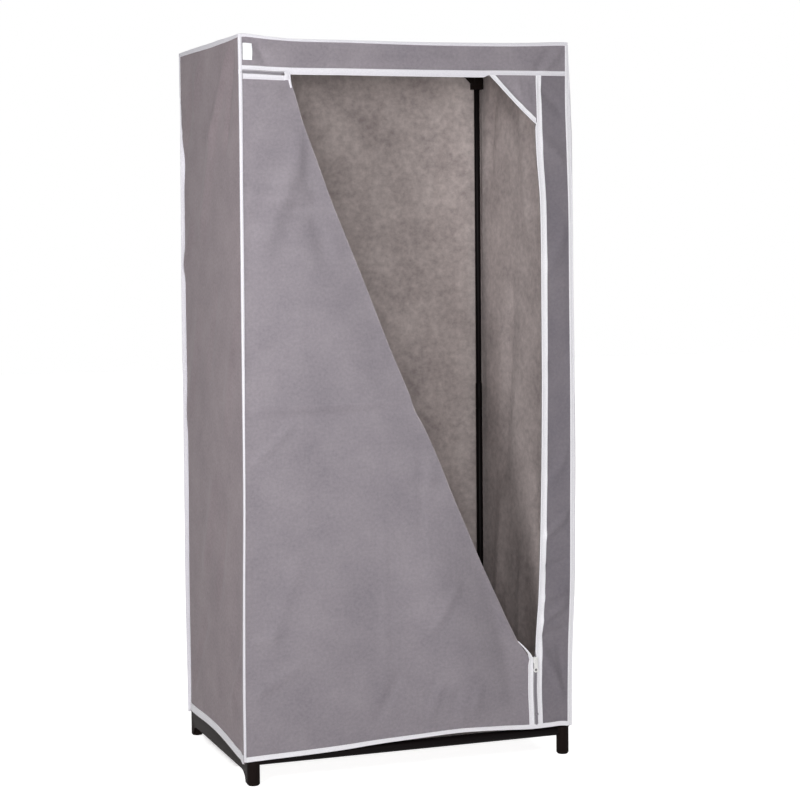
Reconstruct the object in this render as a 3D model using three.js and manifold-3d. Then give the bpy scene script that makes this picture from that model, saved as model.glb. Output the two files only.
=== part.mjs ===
// Portable fabric wardrobe: a frame of tubes and moulded corners under a sewn cover,
// with an L-shaped zip door whose free part is turned inwards along a slanted crease.
// Millimetres. Before the last shift, X runs right from the left side, Y back from the front, Z up.

import * as THREE from 'three';
import Module from 'manifold-3d';
import { mergeVertices } from 'three/addons/utils/BufferGeometryUtils.js';

const wasm = await Module();
wasm.setup();

// Overall size over the cloth
const width = 756;
const depth = 522;
const height = 1591;

// Clearance between pieces that touch, and the extra length of every cut
const gap = 0.3;
const overrun = 2;

// Cloth and sewn tapes
const cloth = 1.2;
const tape = 1.5;
const finReach = 5.5;
const finFoot = 7;
const topBindingHeight = 10;
const topBindingFoot = 8;
const hemHeight = 11;
const valanceBindingHeight = 11;
const doorTapeWidth = 12;
const gussetBindingWidth = 6;

// Hem line: side and back height, then the front corners and the rise between them
const sideHemZ = 53;
const frontHemLeftZ = 52;
const frontHemRightZ = 64;
const frontHemRise = 14;
const hemSteps = 14;

// Zip route: the strip of cloth on its right, the slanted leg, the drop below the top, then the halves
const stripFootWidth = 87.2;
const stripTopWidth = 76;
const zipFootZ = 70;
const zipTopDrop = 73;
const slantWidth = 110;
const slantHeight = 100;
const zipHalf = 4.1;
const zipSplit = 1.2;

// Creases of the door and the short free edge beside the slider
const creaseHeadX = 110;
const creaseHeadDrop = 18;
const creaseFootInset = 42.8;
const creaseFootZ = 258;
const freeEdgeZ = 206;
const freeEdgeTape = 5;
const cornerCreaseX = 45;
const turnedInAngle = Math.PI;
const cornerFoldAngle = Math.PI / 2;

// Label
const labelWidth = 19;
const labelHeight = 31;

// Feet and side frames of the base
const footRadius = 14;
const footChamfer = 3;
const footCrown = 3;
const footHeight = 65;
const postSocketDepth = 40;
const webThickness = 3;
const webFootZ = 27;
const webTopDrop = 6;
const gussetReach = 36;
const gussetFootZ = 4;
const flangeWidth = 20;
const flangeThickness = 3;
const ribThickness = 2;
const ribDrop = 27;
const ribCount = 5;
const wallBite = 3;

// Base rails
const baseRailRadius = 11;
const baseRailWall = 1.5;
const baseRailDrop = 11.5;
const shoulderReach = 15;
const spigotLength = 25;

// Posts
const lowerPostRadius = 8;
const upperPostRadius = 7;
const tubeWall = 0.7;
const postJointZ = 810;
const postOverlap = 60;
const beadDepth = 1;
const beadHeight = 4;

// Top corners, top rails and hanging rail
const hubSide = 27;
const hubRound = 5;
const hubDrop = 60;
const upperSocketDepth = 26;
const railRadius = 8;
const railDrop = 21;
const railSocketStart = 10;
const armRadius = 11.5;
const armReach = 30;
const armRibThickness = 3;
const armRibDrop = 16;
const holderReach = 35;
const holderLength = 36;

// Zip slider, pull tab, stop and end piece
const sliderWidth = 10.6;
const sliderHeight = 15;
const sliderZ = 211;
const sliderPlate = 1.4;
const sliderRound = 3.5;
const sliderLead = 2.5;
const wedgeThickness = 0.6;
const wedgeHeight = 8;
const loopWidth = 2.2;
const loopHeight = 9;
const loopReach = 3.6;
const loopEyeHeight = 4.2;
const loopEyeReach = 2.6;
const pullNeckWidth = 8.4;
const pullEndRadius = 6;
const pullLength = 27;
const pullPlate = 1.4;
const pullBar = 1.5;
const pullEyeWidth = 3.2;
const pullEyeHeight = 4.8;
const pullHoleRadius = 3;
const stopHeight = 5;
const stopLift = 3;
const endPieceX = 92;
const endPieceWidth = 9.7;
const endPieceDrop = 17.5;

// Smoothness of round work
const tubeSides = 18;
const mouldSides = 28;

// Sizes that follow from the ones above
const postInset = cloth + gap + footRadius;
const webTopZ = footHeight - webTopDrop;
const baseRailZ = footHeight - baseRailDrop;
const topClothZ = height - cloth;
const panelTopZ = topClothZ - gap;
const frontLayer = [-gap - tape, -gap];
const clothLayer = [0, cloth];
const tapeNear = zipSplit / 2 + zipHalf + gap;
const zipFootX = width - stripFootWidth;
const zipCornerX = width - stripTopWidth;
const zipTopX = zipCornerX - slantWidth;
const zipTopZ = height - zipTopDrop;
const zipCornerZ = zipTopZ - slantHeight;
const creaseHeadZ = zipTopZ - creaseHeadDrop;
const creaseFootX = zipFootX - creaseFootInset;
const hubFootZ = height - hubDrop;
const railZ = height - railDrop;
const valanceFootZ = zipTopZ + tapeNear;
const doorTopZ = zipTopZ - tapeNear;
const topBindingZ = height - topBindingFoot;
const middleY = depth / 2;
const panelSide = cloth + gap;

// Colours and finishes
const finishes = {
  cloth: { color: 0x857f84, roughness: 0.92, metalness: 0 },
  binding: { color: 0xf1f0f2, roughness: 0.8, metalness: 0 },
  zip: { color: 0x77737a, roughness: 0.6, metalness: 0 },
  slider: { color: 0xf4f4f4, roughness: 0.35, metalness: 0 },
  moulding: { color: 0x1c1a1a, roughness: 0.4, metalness: 0 },
  tube: { color: 0x141416, roughness: 0.3, metalness: 0.1 },
  label: { color: 0xf6f8fa, roughness: 0.6, metalness: 0 },
};

// The tallest things in front and behind set where the middle of the depth lies
const frontReach = gap + tape + gap + sliderPlate + loopReach;
const backReach = gap + tape;
const wardrobe = new THREE.Group();
wardrobe.position.set(-width / 2, -(depth + backReach - frontReach) / 2, 0);

function add(name, geometry, finish, parent = wardrobe) {
  const mesh = new THREE.Mesh(geometry, new THREE.MeshStandardMaterial(finishes[finish]));
  mesh.name = name;
  parent.add(mesh);
}

// Solids for joining and cutting
function toSolid(geometry) {
  const bare = geometry.clone();
  bare.deleteAttribute('normal');
  bare.deleteAttribute('uv');
  const merged = mergeVertices(bare);
  const vertProperties = new Float32Array(merged.attributes.position.array);
  const triVerts = new Uint32Array(merged.index.array);
  return new wasm.Manifold(new wasm.Mesh({ numProp: 3, vertProperties, triVerts }));
}

function toGeometry(solid) {
  const mesh = solid.getMesh();
  const geometry = new THREE.BufferGeometry();
  geometry.setAttribute('position', new THREE.BufferAttribute(mesh.vertProperties, 3));
  geometry.setIndex(new THREE.BufferAttribute(mesh.triVerts, 1));
  geometry.computeVertexNormals();
  return geometry;
}

function join(geometries) {
  return geometries.map(toSolid).reduce((whole, next) => whole.add(next));
}

function cut(solid, geometries) {
  return geometries.map(toSolid).reduce((whole, next) => whole.subtract(next), solid);
}

// A copy reflected across the middle planes of the wardrobe
function reflected(geometry, acrossX, acrossY) {
  const bare = geometry.clone();
  bare.deleteAttribute('normal');
  bare.deleteAttribute('uv');
  const copy = mergeVertices(bare);
  copy.scale(acrossX ? -1 : 1, acrossY ? -1 : 1, 1);
  copy.translate(acrossX ? width : 0, acrossY ? depth : 0, 0);
  if (acrossX !== acrossY) {
    copy.index.array.reverse();
  }
  copy.computeVertexNormals();
  return copy;
}

// A slab with the given outline: front slabs lie in X and Z, side slabs in Y and Z, top slabs in X and Y
const slabFrames = {
  front: [[1, 0, 0], [0, 0, 1], [0, -1, 0]],
  side: [[0, 1, 0], [0, 0, 1], [1, 0, 0]],
  top: [[1, 0, 0], [0, 1, 0], [0, 0, 1]],
};

function toShape(outline) {
  return new THREE.Shape(outline.map(([u, v]) => new THREE.Vector2(u, v)));
}

function slab(outline, plane, [from, to], holes = []) {
  const shape = outline instanceof THREE.Shape ? outline : toShape(outline);
  shape.holes.push(...holes);
  const options = { depth: to - from, bevelEnabled: false, curveSegments: mouldSides / 4 };
  const geometry = new THREE.ExtrudeGeometry(shape, options);
  const [u, v, w] = slabFrames[plane].map((axis) => new THREE.Vector3(...axis));
  geometry.applyMatrix4(new THREE.Matrix4().makeBasis(u, v, w));
  return geometry.translate(...w.multiplyScalar(plane === 'front' ? -to : from).toArray());
}

function rectangle(u0, v0, u1, v1) {
  return [[u0, v0], [u1, v0], [u1, v1], [u0, v1]];
}

// A body of revolution about a line that starts at one point and runs along a direction
function turned(profile, start, direction, sides) {
  const geometry = new THREE.LatheGeometry(profile.map(([r, h]) => new THREE.Vector2(r, h)), sides);
  const turn = new THREE.Quaternion().setFromUnitVectors(
    new THREE.Vector3(0, 1, 0),
    new THREE.Vector3(...direction),
  );
  return geometry.applyQuaternion(turn).translate(...start);
}

function rod(radius, length, start, direction, sides = mouldSides) {
  return turned([[0, 0], [radius, 0], [radius, length], [0, length]], start, direction, sides);
}

function tube(radius, wall, length, start, direction) {
  const inner = radius - wall;
  const profile = [[inner, 0], [radius, 0], [radius, length], [inner, length], [inner, 0]];
  return turned(profile, start, direction, tubeSides);
}

// Outline work in the plane of the door
function lineThrough([ax, az], [bx, bz]) {
  const length = Math.hypot(bx - ax, bz - az);
  return { point: [ax, az], along: [(bx - ax) / length, (bz - az) / length] };
}

// Signed distance of a point to the right of a line
function rightOf(line, [x, z]) {
  const dx = x - line.point[0];
  const dz = z - line.point[1];
  return dx * line.along[1] - dz * line.along[0];
}

// The part of an outline that lies at least a margin to the right of a line
function keepRight(outline, line, margin) {
  const kept = [];
  outline.forEach((corner, index) => {
    const next = outline[(index + 1) % outline.length];
    const here = rightOf(line, corner) - margin;
    const there = rightOf(line, next) - margin;
    if (here >= 0) {
      kept.push(corner);
    }
    if (here * there < 0) {
      const share = here / (here - there);
      kept.push(corner.map((value, axis) => value + share * (next[axis] - value)));
    }
  });
  return kept;
}

function reversed(line) {
  return { point: line.point, along: line.along.map((value) => -value) };
}

function keepLeft(outline, line, margin) {
  return keepRight(outline, reversed(line), margin);
}

function mirrorPoint(line, point) {
  const distance = rightOf(line, point);
  const [ux, uz] = line.along;
  return [point[0] - 2 * distance * uz, point[1] + 2 * distance * ux];
}

// The same route moved sideways to its right, with its corners mitred
function offsetRoute(route, distance) {
  const legs = route.slice(1).map((point, index) => lineThrough(route[index], point));
  return route.map((point, index) => {
    const before = legs[Math.max(index - 1, 0)].along;
    const after = legs[Math.min(index, legs.length - 1)].along;
    const share = distance / (1 + before[0] * after[0] + before[1] * after[1]);
    return [point[0] + share * (before[1] + after[1]), point[1] - share * (before[0] + after[0])];
  });
}

function band(route, near, far) {
  return [...offsetRoute(route, near), ...offsetRoute(route, far).reverse()];
}

// Height of the front hem's lower edge at a place along the front
function frontHem(x) {
  const share = x / width;
  const slope = frontHemLeftZ + (frontHemRightZ - frontHemLeftZ) * share;
  return slope + 4 * frontHemRise * share * (1 - share);
}

function hemRoute(fromX, toX, lift) {
  return Array.from({ length: hemSteps + 1 }, (unused, index) => {
    const x = fromX + ((toX - fromX) * index) / hemSteps;
    return [x, frontHem(x) + lift];
  });
}

// Base side frame: two feet, an outer web with curved gussets, a ribbed flange and rail spigots
function footProfile() {
  const bore = lowerPostRadius + gap;
  const crown = new THREE.Path();
  crown.absarc(footRadius - footCrown, footHeight - footCrown, footCrown, 0, Math.PI / 2, false);
  const crownPoints = crown.getPoints(mouldSides / 4).map((point) => [point.x, point.y]);
  return [
    [0, 0],
    [footRadius - footChamfer, 0],
    [footRadius, footChamfer],
    ...crownPoints,
    [bore, footHeight],
    [bore, footHeight - postSocketDepth],
    [0, footHeight - postSocketDepth],
  ];
}

function webOutline() {
  const near = postInset + footRadius;
  const far = depth - near;
  const shape = new THREE.Shape();
  shape.moveTo(postInset, webTopZ);
  shape.lineTo(postInset, gussetFootZ);
  shape.lineTo(near, gussetFootZ);
  shape.quadraticCurveTo(near + gussetReach / 8, webFootZ, near + gussetReach, webFootZ);
  shape.lineTo(far - gussetReach, webFootZ);
  shape.quadraticCurveTo(far - gussetReach / 8, webFootZ, far, gussetFootZ);
  shape.lineTo(depth - postInset, gussetFootZ);
  shape.lineTo(depth - postInset, webTopZ);
  return shape;
}

function baseSide() {
  const outerX = postInset - footRadius;
  const bitten = postInset + footRadius - wallBite;
  const web = slab(webOutline(), 'side', [outerX, outerX + webThickness]);
  const flangeOutline = rectangle(outerX, bitten, outerX + flangeWidth, depth - bitten);
  const pieces = [web, slab(flangeOutline, 'top', [webTopZ - flangeThickness, webTopZ])];
  const spacing = (depth - 2 * bitten) / (ribCount + 1);
  const ribOutline = [
    [outerX, webTopZ - ribDrop],
    [outerX + webThickness, webTopZ - ribDrop],
    [outerX + flangeWidth, webTopZ - flangeThickness],
    [outerX, webTopZ - flangeThickness / 2],
  ];
  for (let rib = 1; rib <= ribCount; rib += 1) {
    const y = bitten + rib * spacing;
    pieces.push(slab(ribOutline, 'front', [y - ribThickness / 2, y + ribThickness / 2]));
  }
  for (const y of [postInset, depth - postInset]) {
    const spigotRadius = baseRailRadius - baseRailWall - gap;
    const spigotProfile = [
      [0, 0],
      [baseRailRadius, 0],
      [baseRailRadius, shoulderReach - footRadius + wallBite],
      [spigotRadius, shoulderReach - footRadius + wallBite],
      [spigotRadius, shoulderReach - footRadius + wallBite + spigotLength],
      [0, shoulderReach - footRadius + wallBite + spigotLength],
    ];
    pieces.push(turned(spigotProfile, [bitten, y, baseRailZ], [1, 0, 0], mouldSides));
    pieces.push(turned(footProfile(), [postInset, y, 0], [0, 0, 1], mouldSides));
  }
  const bores = [postInset, depth - postInset].map((y) => rod(
    lowerPostRadius + gap,
    postSocketDepth + overrun,
    [postInset, y, footHeight - postSocketDepth],
    [0, 0, 1],
  ));
  return toGeometry(cut(join(pieces), bores));
}

const baseSideLeft = baseSide();
add('base_side_left', baseSideLeft, 'moulding');
add('base_side_right', reflected(baseSideLeft, true, false), 'moulding');

const railShoulderX = postInset + shoulderReach + gap;
const baseRail = tube(
  baseRailRadius,
  baseRailWall,
  width - 2 * railShoulderX,
  [railShoulderX, postInset, baseRailZ],
  [1, 0, 0],
);
add('base_rail_front', baseRail, 'tube');
add('base_rail_back', reflected(baseRail, false, true), 'tube');

// Lower posts stand in the feet and carry a rolled bead that stops the upper posts
function lowerPost() {
  const footZ = footHeight - postSocketDepth + gap;
  const inner = lowerPostRadius - tubeWall;
  const beadTop = postJointZ - postOverlap - footZ;
  const beadFoot = beadTop - beadHeight;
  const beadMiddle = (beadTop + beadFoot) / 2;
  const profile = [
    [inner, 0],
    [lowerPostRadius, 0],
    [lowerPostRadius, beadFoot],
    [lowerPostRadius - beadDepth, beadMiddle],
    [lowerPostRadius, beadTop],
    [lowerPostRadius, postJointZ - footZ],
    [inner, postJointZ - footZ],
    [inner, beadTop],
    [inner - beadDepth, beadMiddle],
    [inner, beadFoot],
    [inner, 0],
  ];
  return turned(profile, [postInset, postInset, footZ], [0, 0, 1], tubeSides);
}

function upperPost() {
  const footZ = postJointZ - postOverlap + gap;
  const topZ = hubFootZ + upperSocketDepth - gap;
  return tube(upperPostRadius, tubeWall, topZ - footZ, [postInset, postInset, footZ], [0, 0, 1]);
}

// Top corner: a rounded hub on the post with two round arms that take the top rails
function roundedSquare(side, round) {
  const half = side / 2;
  const shape = new THREE.Shape();
  const near = postInset - half;
  const far = postInset + half;
  shape.moveTo(near + round, near);
  shape.lineTo(far - round, near);
  shape.absarc(far - round, near + round, round, -Math.PI / 2, 0, false);
  shape.lineTo(far, far - round);
  shape.absarc(far - round, far - round, round, 0, Math.PI / 2, false);
  shape.lineTo(near + round, far);
  shape.absarc(near + round, far - round, round, Math.PI / 2, Math.PI, false);
  shape.lineTo(near, near + round);
  shape.absarc(near + round, near + round, round, Math.PI, 1.5 * Math.PI, false);
  return shape;
}

function topCorner() {
  const ribFoot = railZ - armRadius - armRibDrop;
  const ribOutline = [
    [postInset, ribFoot],
    [postInset + hubSide / 2, ribFoot],
    [postInset + armReach, railZ - armRadius + tubeWall],
    [postInset, railZ],
  ];
  const ribSpan = [postInset - armRibThickness / 2, postInset + armRibThickness / 2];
  const directions = [[1, 0, 0], [0, 1, 0]];
  const centre = [postInset, postInset, railZ];
  const pieces = [
    slab(roundedSquare(hubSide, hubRound), 'top', [hubFootZ, panelTopZ]),
    slab(ribOutline, 'front', ribSpan),
    slab(ribOutline, 'side', ribSpan),
    ...directions.map((direction) => rod(armRadius, armReach, centre, direction)),
  ];
  const postBore = rod(
    upperPostRadius + gap,
    upperSocketDepth + overrun,
    [postInset, postInset, hubFootZ - overrun],
    [0, 0, 1],
  );
  const railBores = directions.map(([dx, dy]) => rod(
    railRadius + gap,
    armReach,
    [postInset + dx * railSocketStart, postInset + dy * railSocketStart, railZ],
    [dx, dy, 0],
  ));
  return toGeometry(cut(join(pieces), [postBore, ...railBores]));
}

const cornerParts = { post_lower: lowerPost(), post_upper: upperPost(), top_corner: topCorner() };
for (const [sideY, acrossY] of [['front', false], ['back', true]]) {
  for (const [sideX, acrossX] of [['left', false], ['right', true]]) {
    for (const [part, geometry] of Object.entries(cornerParts)) {
      const finish = part === 'top_corner' ? 'moulding' : 'tube';
      add(`${part}_${sideY}_${sideX}`, reflected(geometry, acrossX, acrossY), finish);
    }
  }
}

// Top rails sit in the corner sockets, and the hanging rail sits in holders on the side rails
const railStart = postInset + railSocketStart + gap;
const topRailFront = tube(
  railRadius,
  tubeWall,
  width - 2 * railStart,
  [railStart, postInset, railZ],
  [1, 0, 0],
);
const topRailLeft = tube(
  railRadius,
  tubeWall,
  depth - 2 * railStart,
  [postInset, railStart, railZ],
  [0, 1, 0],
);
add('top_rail_front', topRailFront, 'tube');
add('top_rail_back', reflected(topRailFront, false, true), 'tube');
add('top_rail_left', topRailLeft, 'tube');
add('top_rail_right', reflected(topRailLeft, true, false), 'tube');

const hangingRail = tube(
  railRadius,
  tubeWall,
  width - 2 * railStart,
  [railStart, middleY, railZ],
  [1, 0, 0],
);
add('hanging_rail', hangingRail, 'tube');

function railHolder() {
  const sleeveStart = [postInset, middleY - holderLength / 2, railZ];
  const pieces = [
    rod(armRadius, holderLength, sleeveStart, [0, 1, 0]),
    rod(armRadius, holderReach, [postInset, middleY, railZ], [1, 0, 0]),
  ];
  const boreStart = [postInset, middleY - holderLength / 2 - overrun, railZ];
  const bores = [
    rod(railRadius + gap, holderLength + 2 * overrun, boreStart, [0, 1, 0]),
    rod(railRadius + gap, holderReach, [postInset + railSocketStart, middleY, railZ], [1, 0, 0]),
  ];
  return toGeometry(cut(join(pieces), bores));
}

const holderLeft = railHolder();
add('rail_holder_left', holderLeft, 'moulding');
add('rail_holder_right', reflected(holderLeft, true, false), 'moulding');

// Side, back and top cloth
const sideCloth = slab(
  rectangle(panelSide, sideHemZ, depth - panelSide, panelTopZ),
  'side',
  [0, cloth],
);
add('cover_left', sideCloth, 'cloth');
add('cover_right', reflected(sideCloth, true, false), 'cloth');

// Cloth that runs into the corner seams stops short of the top binding there
const finClothX = -(finReach - tape);
function finnedOutline(footZ) {
  return [
    [finClothX, footZ],
    [width - finClothX, footZ],
    [width - finClothX, topBindingZ - gap],
    [width, topBindingZ - gap],
    [width, panelTopZ],
    [0, panelTopZ],
    [0, topBindingZ - gap],
    [finClothX, topBindingZ - gap],
  ];
}
add('cover_back', slab(finnedOutline(sideHemZ), 'front', [depth - cloth, depth]), 'cloth');
add('cover_top', slab(rectangle(0, 0, width, depth), 'top', [topClothZ, height]), 'cloth');
add('valance', slab(finnedOutline(valanceFootZ), 'front', clothLayer), 'cloth');

// The zip's centre line, from the hem up, across the corner and along the top
const zipRoute = [
  [zipFootX, zipFootZ],
  [zipCornerX, zipCornerZ],
  [zipTopX, zipTopZ],
  [finClothX, zipTopZ],
];
const zipUpright = lineThrough(zipRoute[0], zipRoute[1]);
function zipX(z) {
  return zipFootX + ((zipCornerX - zipFootX) * (z - zipFootZ)) / (zipCornerZ - zipFootZ);
}

// Cloth strip on the right of the door, and the gusset across its top corner
const valanceLine = lineThrough([width, valanceFootZ], [0, valanceFootZ]);
const stripEdge = offsetRoute([zipRoute[0], [zipX(valanceFootZ), valanceFootZ]], tapeNear);
const stripLine = lineThrough(...stripEdge);
const stripOutline = [
  ...hemRoute(stripEdge[0][0], width - finClothX, 0),
  [width - finClothX, valanceFootZ - gap],
  [stripEdge[1][0], valanceFootZ - gap],
];
add('side_strip', slab(stripOutline, 'front', clothLayer), 'cloth');

// Pieces along the slanted leg of the zip are cut from a longer stretch of it
const slantedLeg = lineThrough(zipRoute[1], zipRoute[2]);
const slantedStretch = [
  zipRoute[1].map((value, axis) => value - slantedLeg.along[axis] * doorTapeWidth),
  zipRoute[2].map((value, axis) => value + slantedLeg.along[axis] * doorTapeWidth),
];
function overSlantedLeg(far) {
  const belowValance = keepLeft(band(slantedStretch, tapeNear, far), valanceLine, gap);
  return keepLeft(belowValance, stripLine, gap);
}
add('corner_gusset', slab(overSlantedLeg(slantWidth), 'front', clothLayer), 'cloth');

// The two creases of the door and the short free edge beside the slider
const crease = lineThrough([creaseFootX, creaseFootZ], [creaseHeadX, creaseHeadZ]);
const freeEdgeX = zipX(freeEdgeZ) - tapeNear;
const freeEdge = lineThrough([freeEdgeX, freeEdgeZ], [creaseFootX, creaseFootZ]);
const cornerCrease = lineThrough(
  mirrorPoint(crease, [cornerCreaseX, 0]),
  mirrorPoint(crease, [cornerCreaseX, height]),
);
const creaseShift = gap / crease.along[1];
function creaseX(z) {
  return creaseFootX + ((creaseHeadX - creaseFootX) * (z - creaseFootZ)) / (creaseHeadZ - creaseFootZ);
}

// Front part of the door, which hangs flat
const doorFrontOutline = [
  ...hemRoute(finClothX, zipX(zipFootZ) - tapeNear, 0),
  [freeEdgeX, freeEdgeZ],
  [creaseFootX - creaseShift, creaseFootZ],
  [creaseX(doorTopZ) - creaseShift, doorTopZ],
  [finClothX, doorTopZ],
];
add('door_front', slab(doorFrontOutline, 'front', clothLayer), 'cloth');

// A group turned about a slanted line, for pieces drawn as the door lies when it is closed
function turnedGroup(parent, line, y, angle) {
  const pivot = [line.point[0], y, line.point[1]];
  const outer = new THREE.Group();
  outer.position.set(...pivot);
  outer.quaternion.setFromAxisAngle(new THREE.Vector3(line.along[0], 0, line.along[1]), angle);
  const inner = new THREE.Group();
  inner.position.set(...pivot.map((value) => -value));
  outer.add(inner);
  parent.add(outer);
  return inner;
}
const turnedIn = turnedGroup(wardrobe, crease, cloth + gap / 2, -turnedInAngle);
const cornerTurned = turnedGroup(turnedIn, cornerCrease, -2 * gap - tape, -cornerFoldAngle);

// The part of the door that is turned inwards, and its far corner
const aboveSliderZ = sliderZ + sliderHeight / 2 + sliderLead;
const aboveSlider = lineThrough([width, aboveSliderZ], [0, aboveSliderZ]);
function besideCrease(outline) {
  return keepRight(keepRight(outline, crease, gap), freeEdge, 2 * gap);
}
const doorEdge = offsetRoute(zipRoute, -tapeNear);
const leaf = keepRight(besideCrease([...doorEdge, [finClothX, zipFootZ]]), aboveSlider, 0);
const flapOutline = keepLeft(leaf, cornerCrease, gap);
const cornerOutline = keepRight(leaf, cornerCrease, gap);
add('door_flap', slab(flapOutline, 'front', clothLayer), 'cloth', turnedIn);
add('door_flap_corner', slab(cornerOutline, 'front', clothLayer), 'cloth', cornerTurned);

// Tape and zip half along the turned-in edge
const tapeFar = tapeNear + doorTapeWidth;
function edgeTape(route) {
  return band(route, -zipSplit / 2, -tapeFar);
}
const sideTape = keepRight(besideCrease(edgeTape(zipRoute.slice(0, 2))), aboveSlider, 0);
const topTape = besideCrease(edgeTape(zipRoute.slice(2)));
add('flap_tape_side', slab(keepLeft(sideTape, cornerCrease, gap), 'front', frontLayer), 'binding', turnedIn);
add('flap_tape_top', slab(keepLeft(topTape, cornerCrease, gap), 'front', frontLayer), 'binding', turnedIn);
const cornerTape = keepRight(edgeTape(zipRoute), cornerCrease, gap);
add('flap_corner_tape', slab(cornerTape, 'front', frontLayer), 'binding', cornerTurned);

// Zip halves of the cover and of the closed parts of the door
const halfNear = zipSplit / 2;
const halfFar = halfNear + zipHalf;
const closedTopZ = sliderZ - sliderHeight / 2 - gap;
const closedRoute = [zipRoute[0], [zipX(closedTopZ), closedTopZ]];
const headRoute = [[endPieceX - gap, zipTopZ], zipRoute[3]];
add('zip_half_cover', slab(band(zipRoute, halfNear, halfFar), 'front', clothLayer), 'zip');
add('zip_half_door', slab(band(closedRoute, -halfNear, -halfFar), 'front', clothLayer), 'zip');
add('zip_half_door_top', slab(band(headRoute, -halfNear, -halfFar), 'front', clothLayer), 'zip');

// Door tape beside the closed parts of the zip, with a narrow leg along the free edge
function aboveHem(x) {
  return frontHem(x) + hemHeight + gap;
}
const doorTapeFarX = freeEdgeX - doorTapeWidth;
const legShift = [-freeEdge.along[1] * freeEdgeTape, freeEdge.along[0] * freeEdgeTape];
const legFoot = [creaseFootX + legShift[0], creaseFootZ + legShift[1]];
const legSlope = freeEdge.along[1] / freeEdge.along[0];
const hemEdgeX = zipX(zipFootZ) - tapeNear;
const doorTapeOutline = [
  [hemEdgeX - doorTapeWidth, aboveHem(hemEdgeX - doorTapeWidth)],
  [hemEdgeX, aboveHem(hemEdgeX)],
  [freeEdgeX, freeEdgeZ],
  [creaseFootX - creaseShift, creaseFootZ],
  legFoot,
  [doorTapeFarX, legFoot[1] + legSlope * (doorTapeFarX - legFoot[0])],
];
add('door_tape', slab(doorTapeOutline, 'front', frontLayer), 'binding');
const doorTapeTop = rectangle(finFoot + gap, doorTopZ - doorTapeWidth, endPieceX - gap, doorTopZ);
add('door_tape_top', slab(doorTapeTop, 'front', frontLayer), 'binding');

// Bindings on the front: below the valance, beside the strip and over the slanted leg
const bindingEnds = [finFoot + gap, width - finFoot - gap];
const valanceTape = rectangle(
  bindingEnds[0],
  valanceFootZ,
  bindingEnds[1],
  valanceFootZ + valanceBindingHeight,
);
add('valance_binding', slab(valanceTape, 'front', frontLayer), 'binding');
const stripTape = [
  [stripEdge[0][0], aboveHem(stripEdge[0][0])],
  [stripEdge[0][0] + doorTapeWidth, aboveHem(stripEdge[0][0] + doorTapeWidth)],
  [stripEdge[1][0] + doorTapeWidth, valanceFootZ - gap],
  [stripEdge[1][0], valanceFootZ - gap],
];
add('strip_binding', slab(stripTape, 'front', frontLayer), 'binding');
const gussetTape = overSlantedLeg(tapeNear + gussetBindingWidth);
add('gusset_binding', slab(gussetTape, 'front', frontLayer), 'binding');

// Bindings round the top and the hem
const ringNear = gap;
const ringFar = gap + tape;
const ringHole = new THREE.Path(
  rectangle(-ringNear, -ringNear, width + ringNear, depth + ringNear)
    .reverse()
    .map(([x, y]) => new THREE.Vector2(x, y)),
);
const ringOutline = rectangle(-ringFar, -ringFar, width + ringFar, depth + ringFar);
const ringSpan = [topBindingZ, topBindingZ + topBindingHeight];
add('top_binding', slab(ringOutline, 'top', ringSpan, [ringHole]), 'binding');
const hemFront = [...hemRoute(...bindingEnds, 0), ...hemRoute(...bindingEnds, hemHeight).reverse()];
add('hem_front', slab(hemFront, 'front', frontLayer), 'binding');
const hemBack = rectangle(bindingEnds[0], sideHemZ, bindingEnds[1], sideHemZ + hemHeight);
add('hem_back', slab(hemBack, 'front', [depth + ringNear, depth + ringFar]), 'binding');
const finBackY = cloth + gap + tape;
const hemSideOutline = rectangle(finBackY + gap, sideHemZ, depth - finBackY - gap, sideHemZ + hemHeight);
const hemLeft = slab(hemSideOutline, 'side', [-ringFar, -ringNear]);
add('hem_left', hemLeft, 'binding');
add('hem_right', reflected(hemLeft, true, false), 'binding');

// Seam bindings at the upright corners wrap the cloth that stands proud there
const seamSection = [
  [-finReach, -ringFar],
  [finFoot, -ringFar],
  [finFoot, -ringNear],
  [finClothX - gap, -ringNear],
  [finClothX - gap, cloth + gap],
  [-gap, cloth + gap],
  [-gap, finBackY],
  [-finReach, finBackY],
];
const seamBinding = slab(seamSection, 'top', [sideHemZ, topBindingZ - gap]);
for (const [sideY, acrossY] of [['front', false], ['back', true]]) {
  for (const [sideX, acrossX] of [['left', false], ['right', true]]) {
    add(`seam_binding_${sideY}_${sideX}`, reflected(seamBinding, acrossX, acrossY), 'binding');
  }
}

// Blank label beside the front left seam
const labelTopZ = topBindingZ - gap;
const labelOutline = rectangle(
  bindingEnds[0],
  labelTopZ - labelHeight,
  bindingEnds[0] + labelWidth,
  labelTopZ,
);
add('label', slab(labelOutline, 'front', frontLayer), 'label');

// Zip slider: two plates and a thin wedge round the tape plane, with a loop for the pull tab
const zipLean = Math.atan2(zipCornerX - zipFootX, zipCornerZ - zipFootZ);
const sliderGroup = new THREE.Group();
sliderGroup.position.set(zipX(sliderZ), 0, sliderZ);
sliderGroup.rotation.y = zipLean;
wardrobe.add(sliderGroup);
const plateBackY = -2 * gap - tape;
const plateFrontY = plateBackY - sliderPlate;
const backPlateY = cloth + gap;

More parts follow.
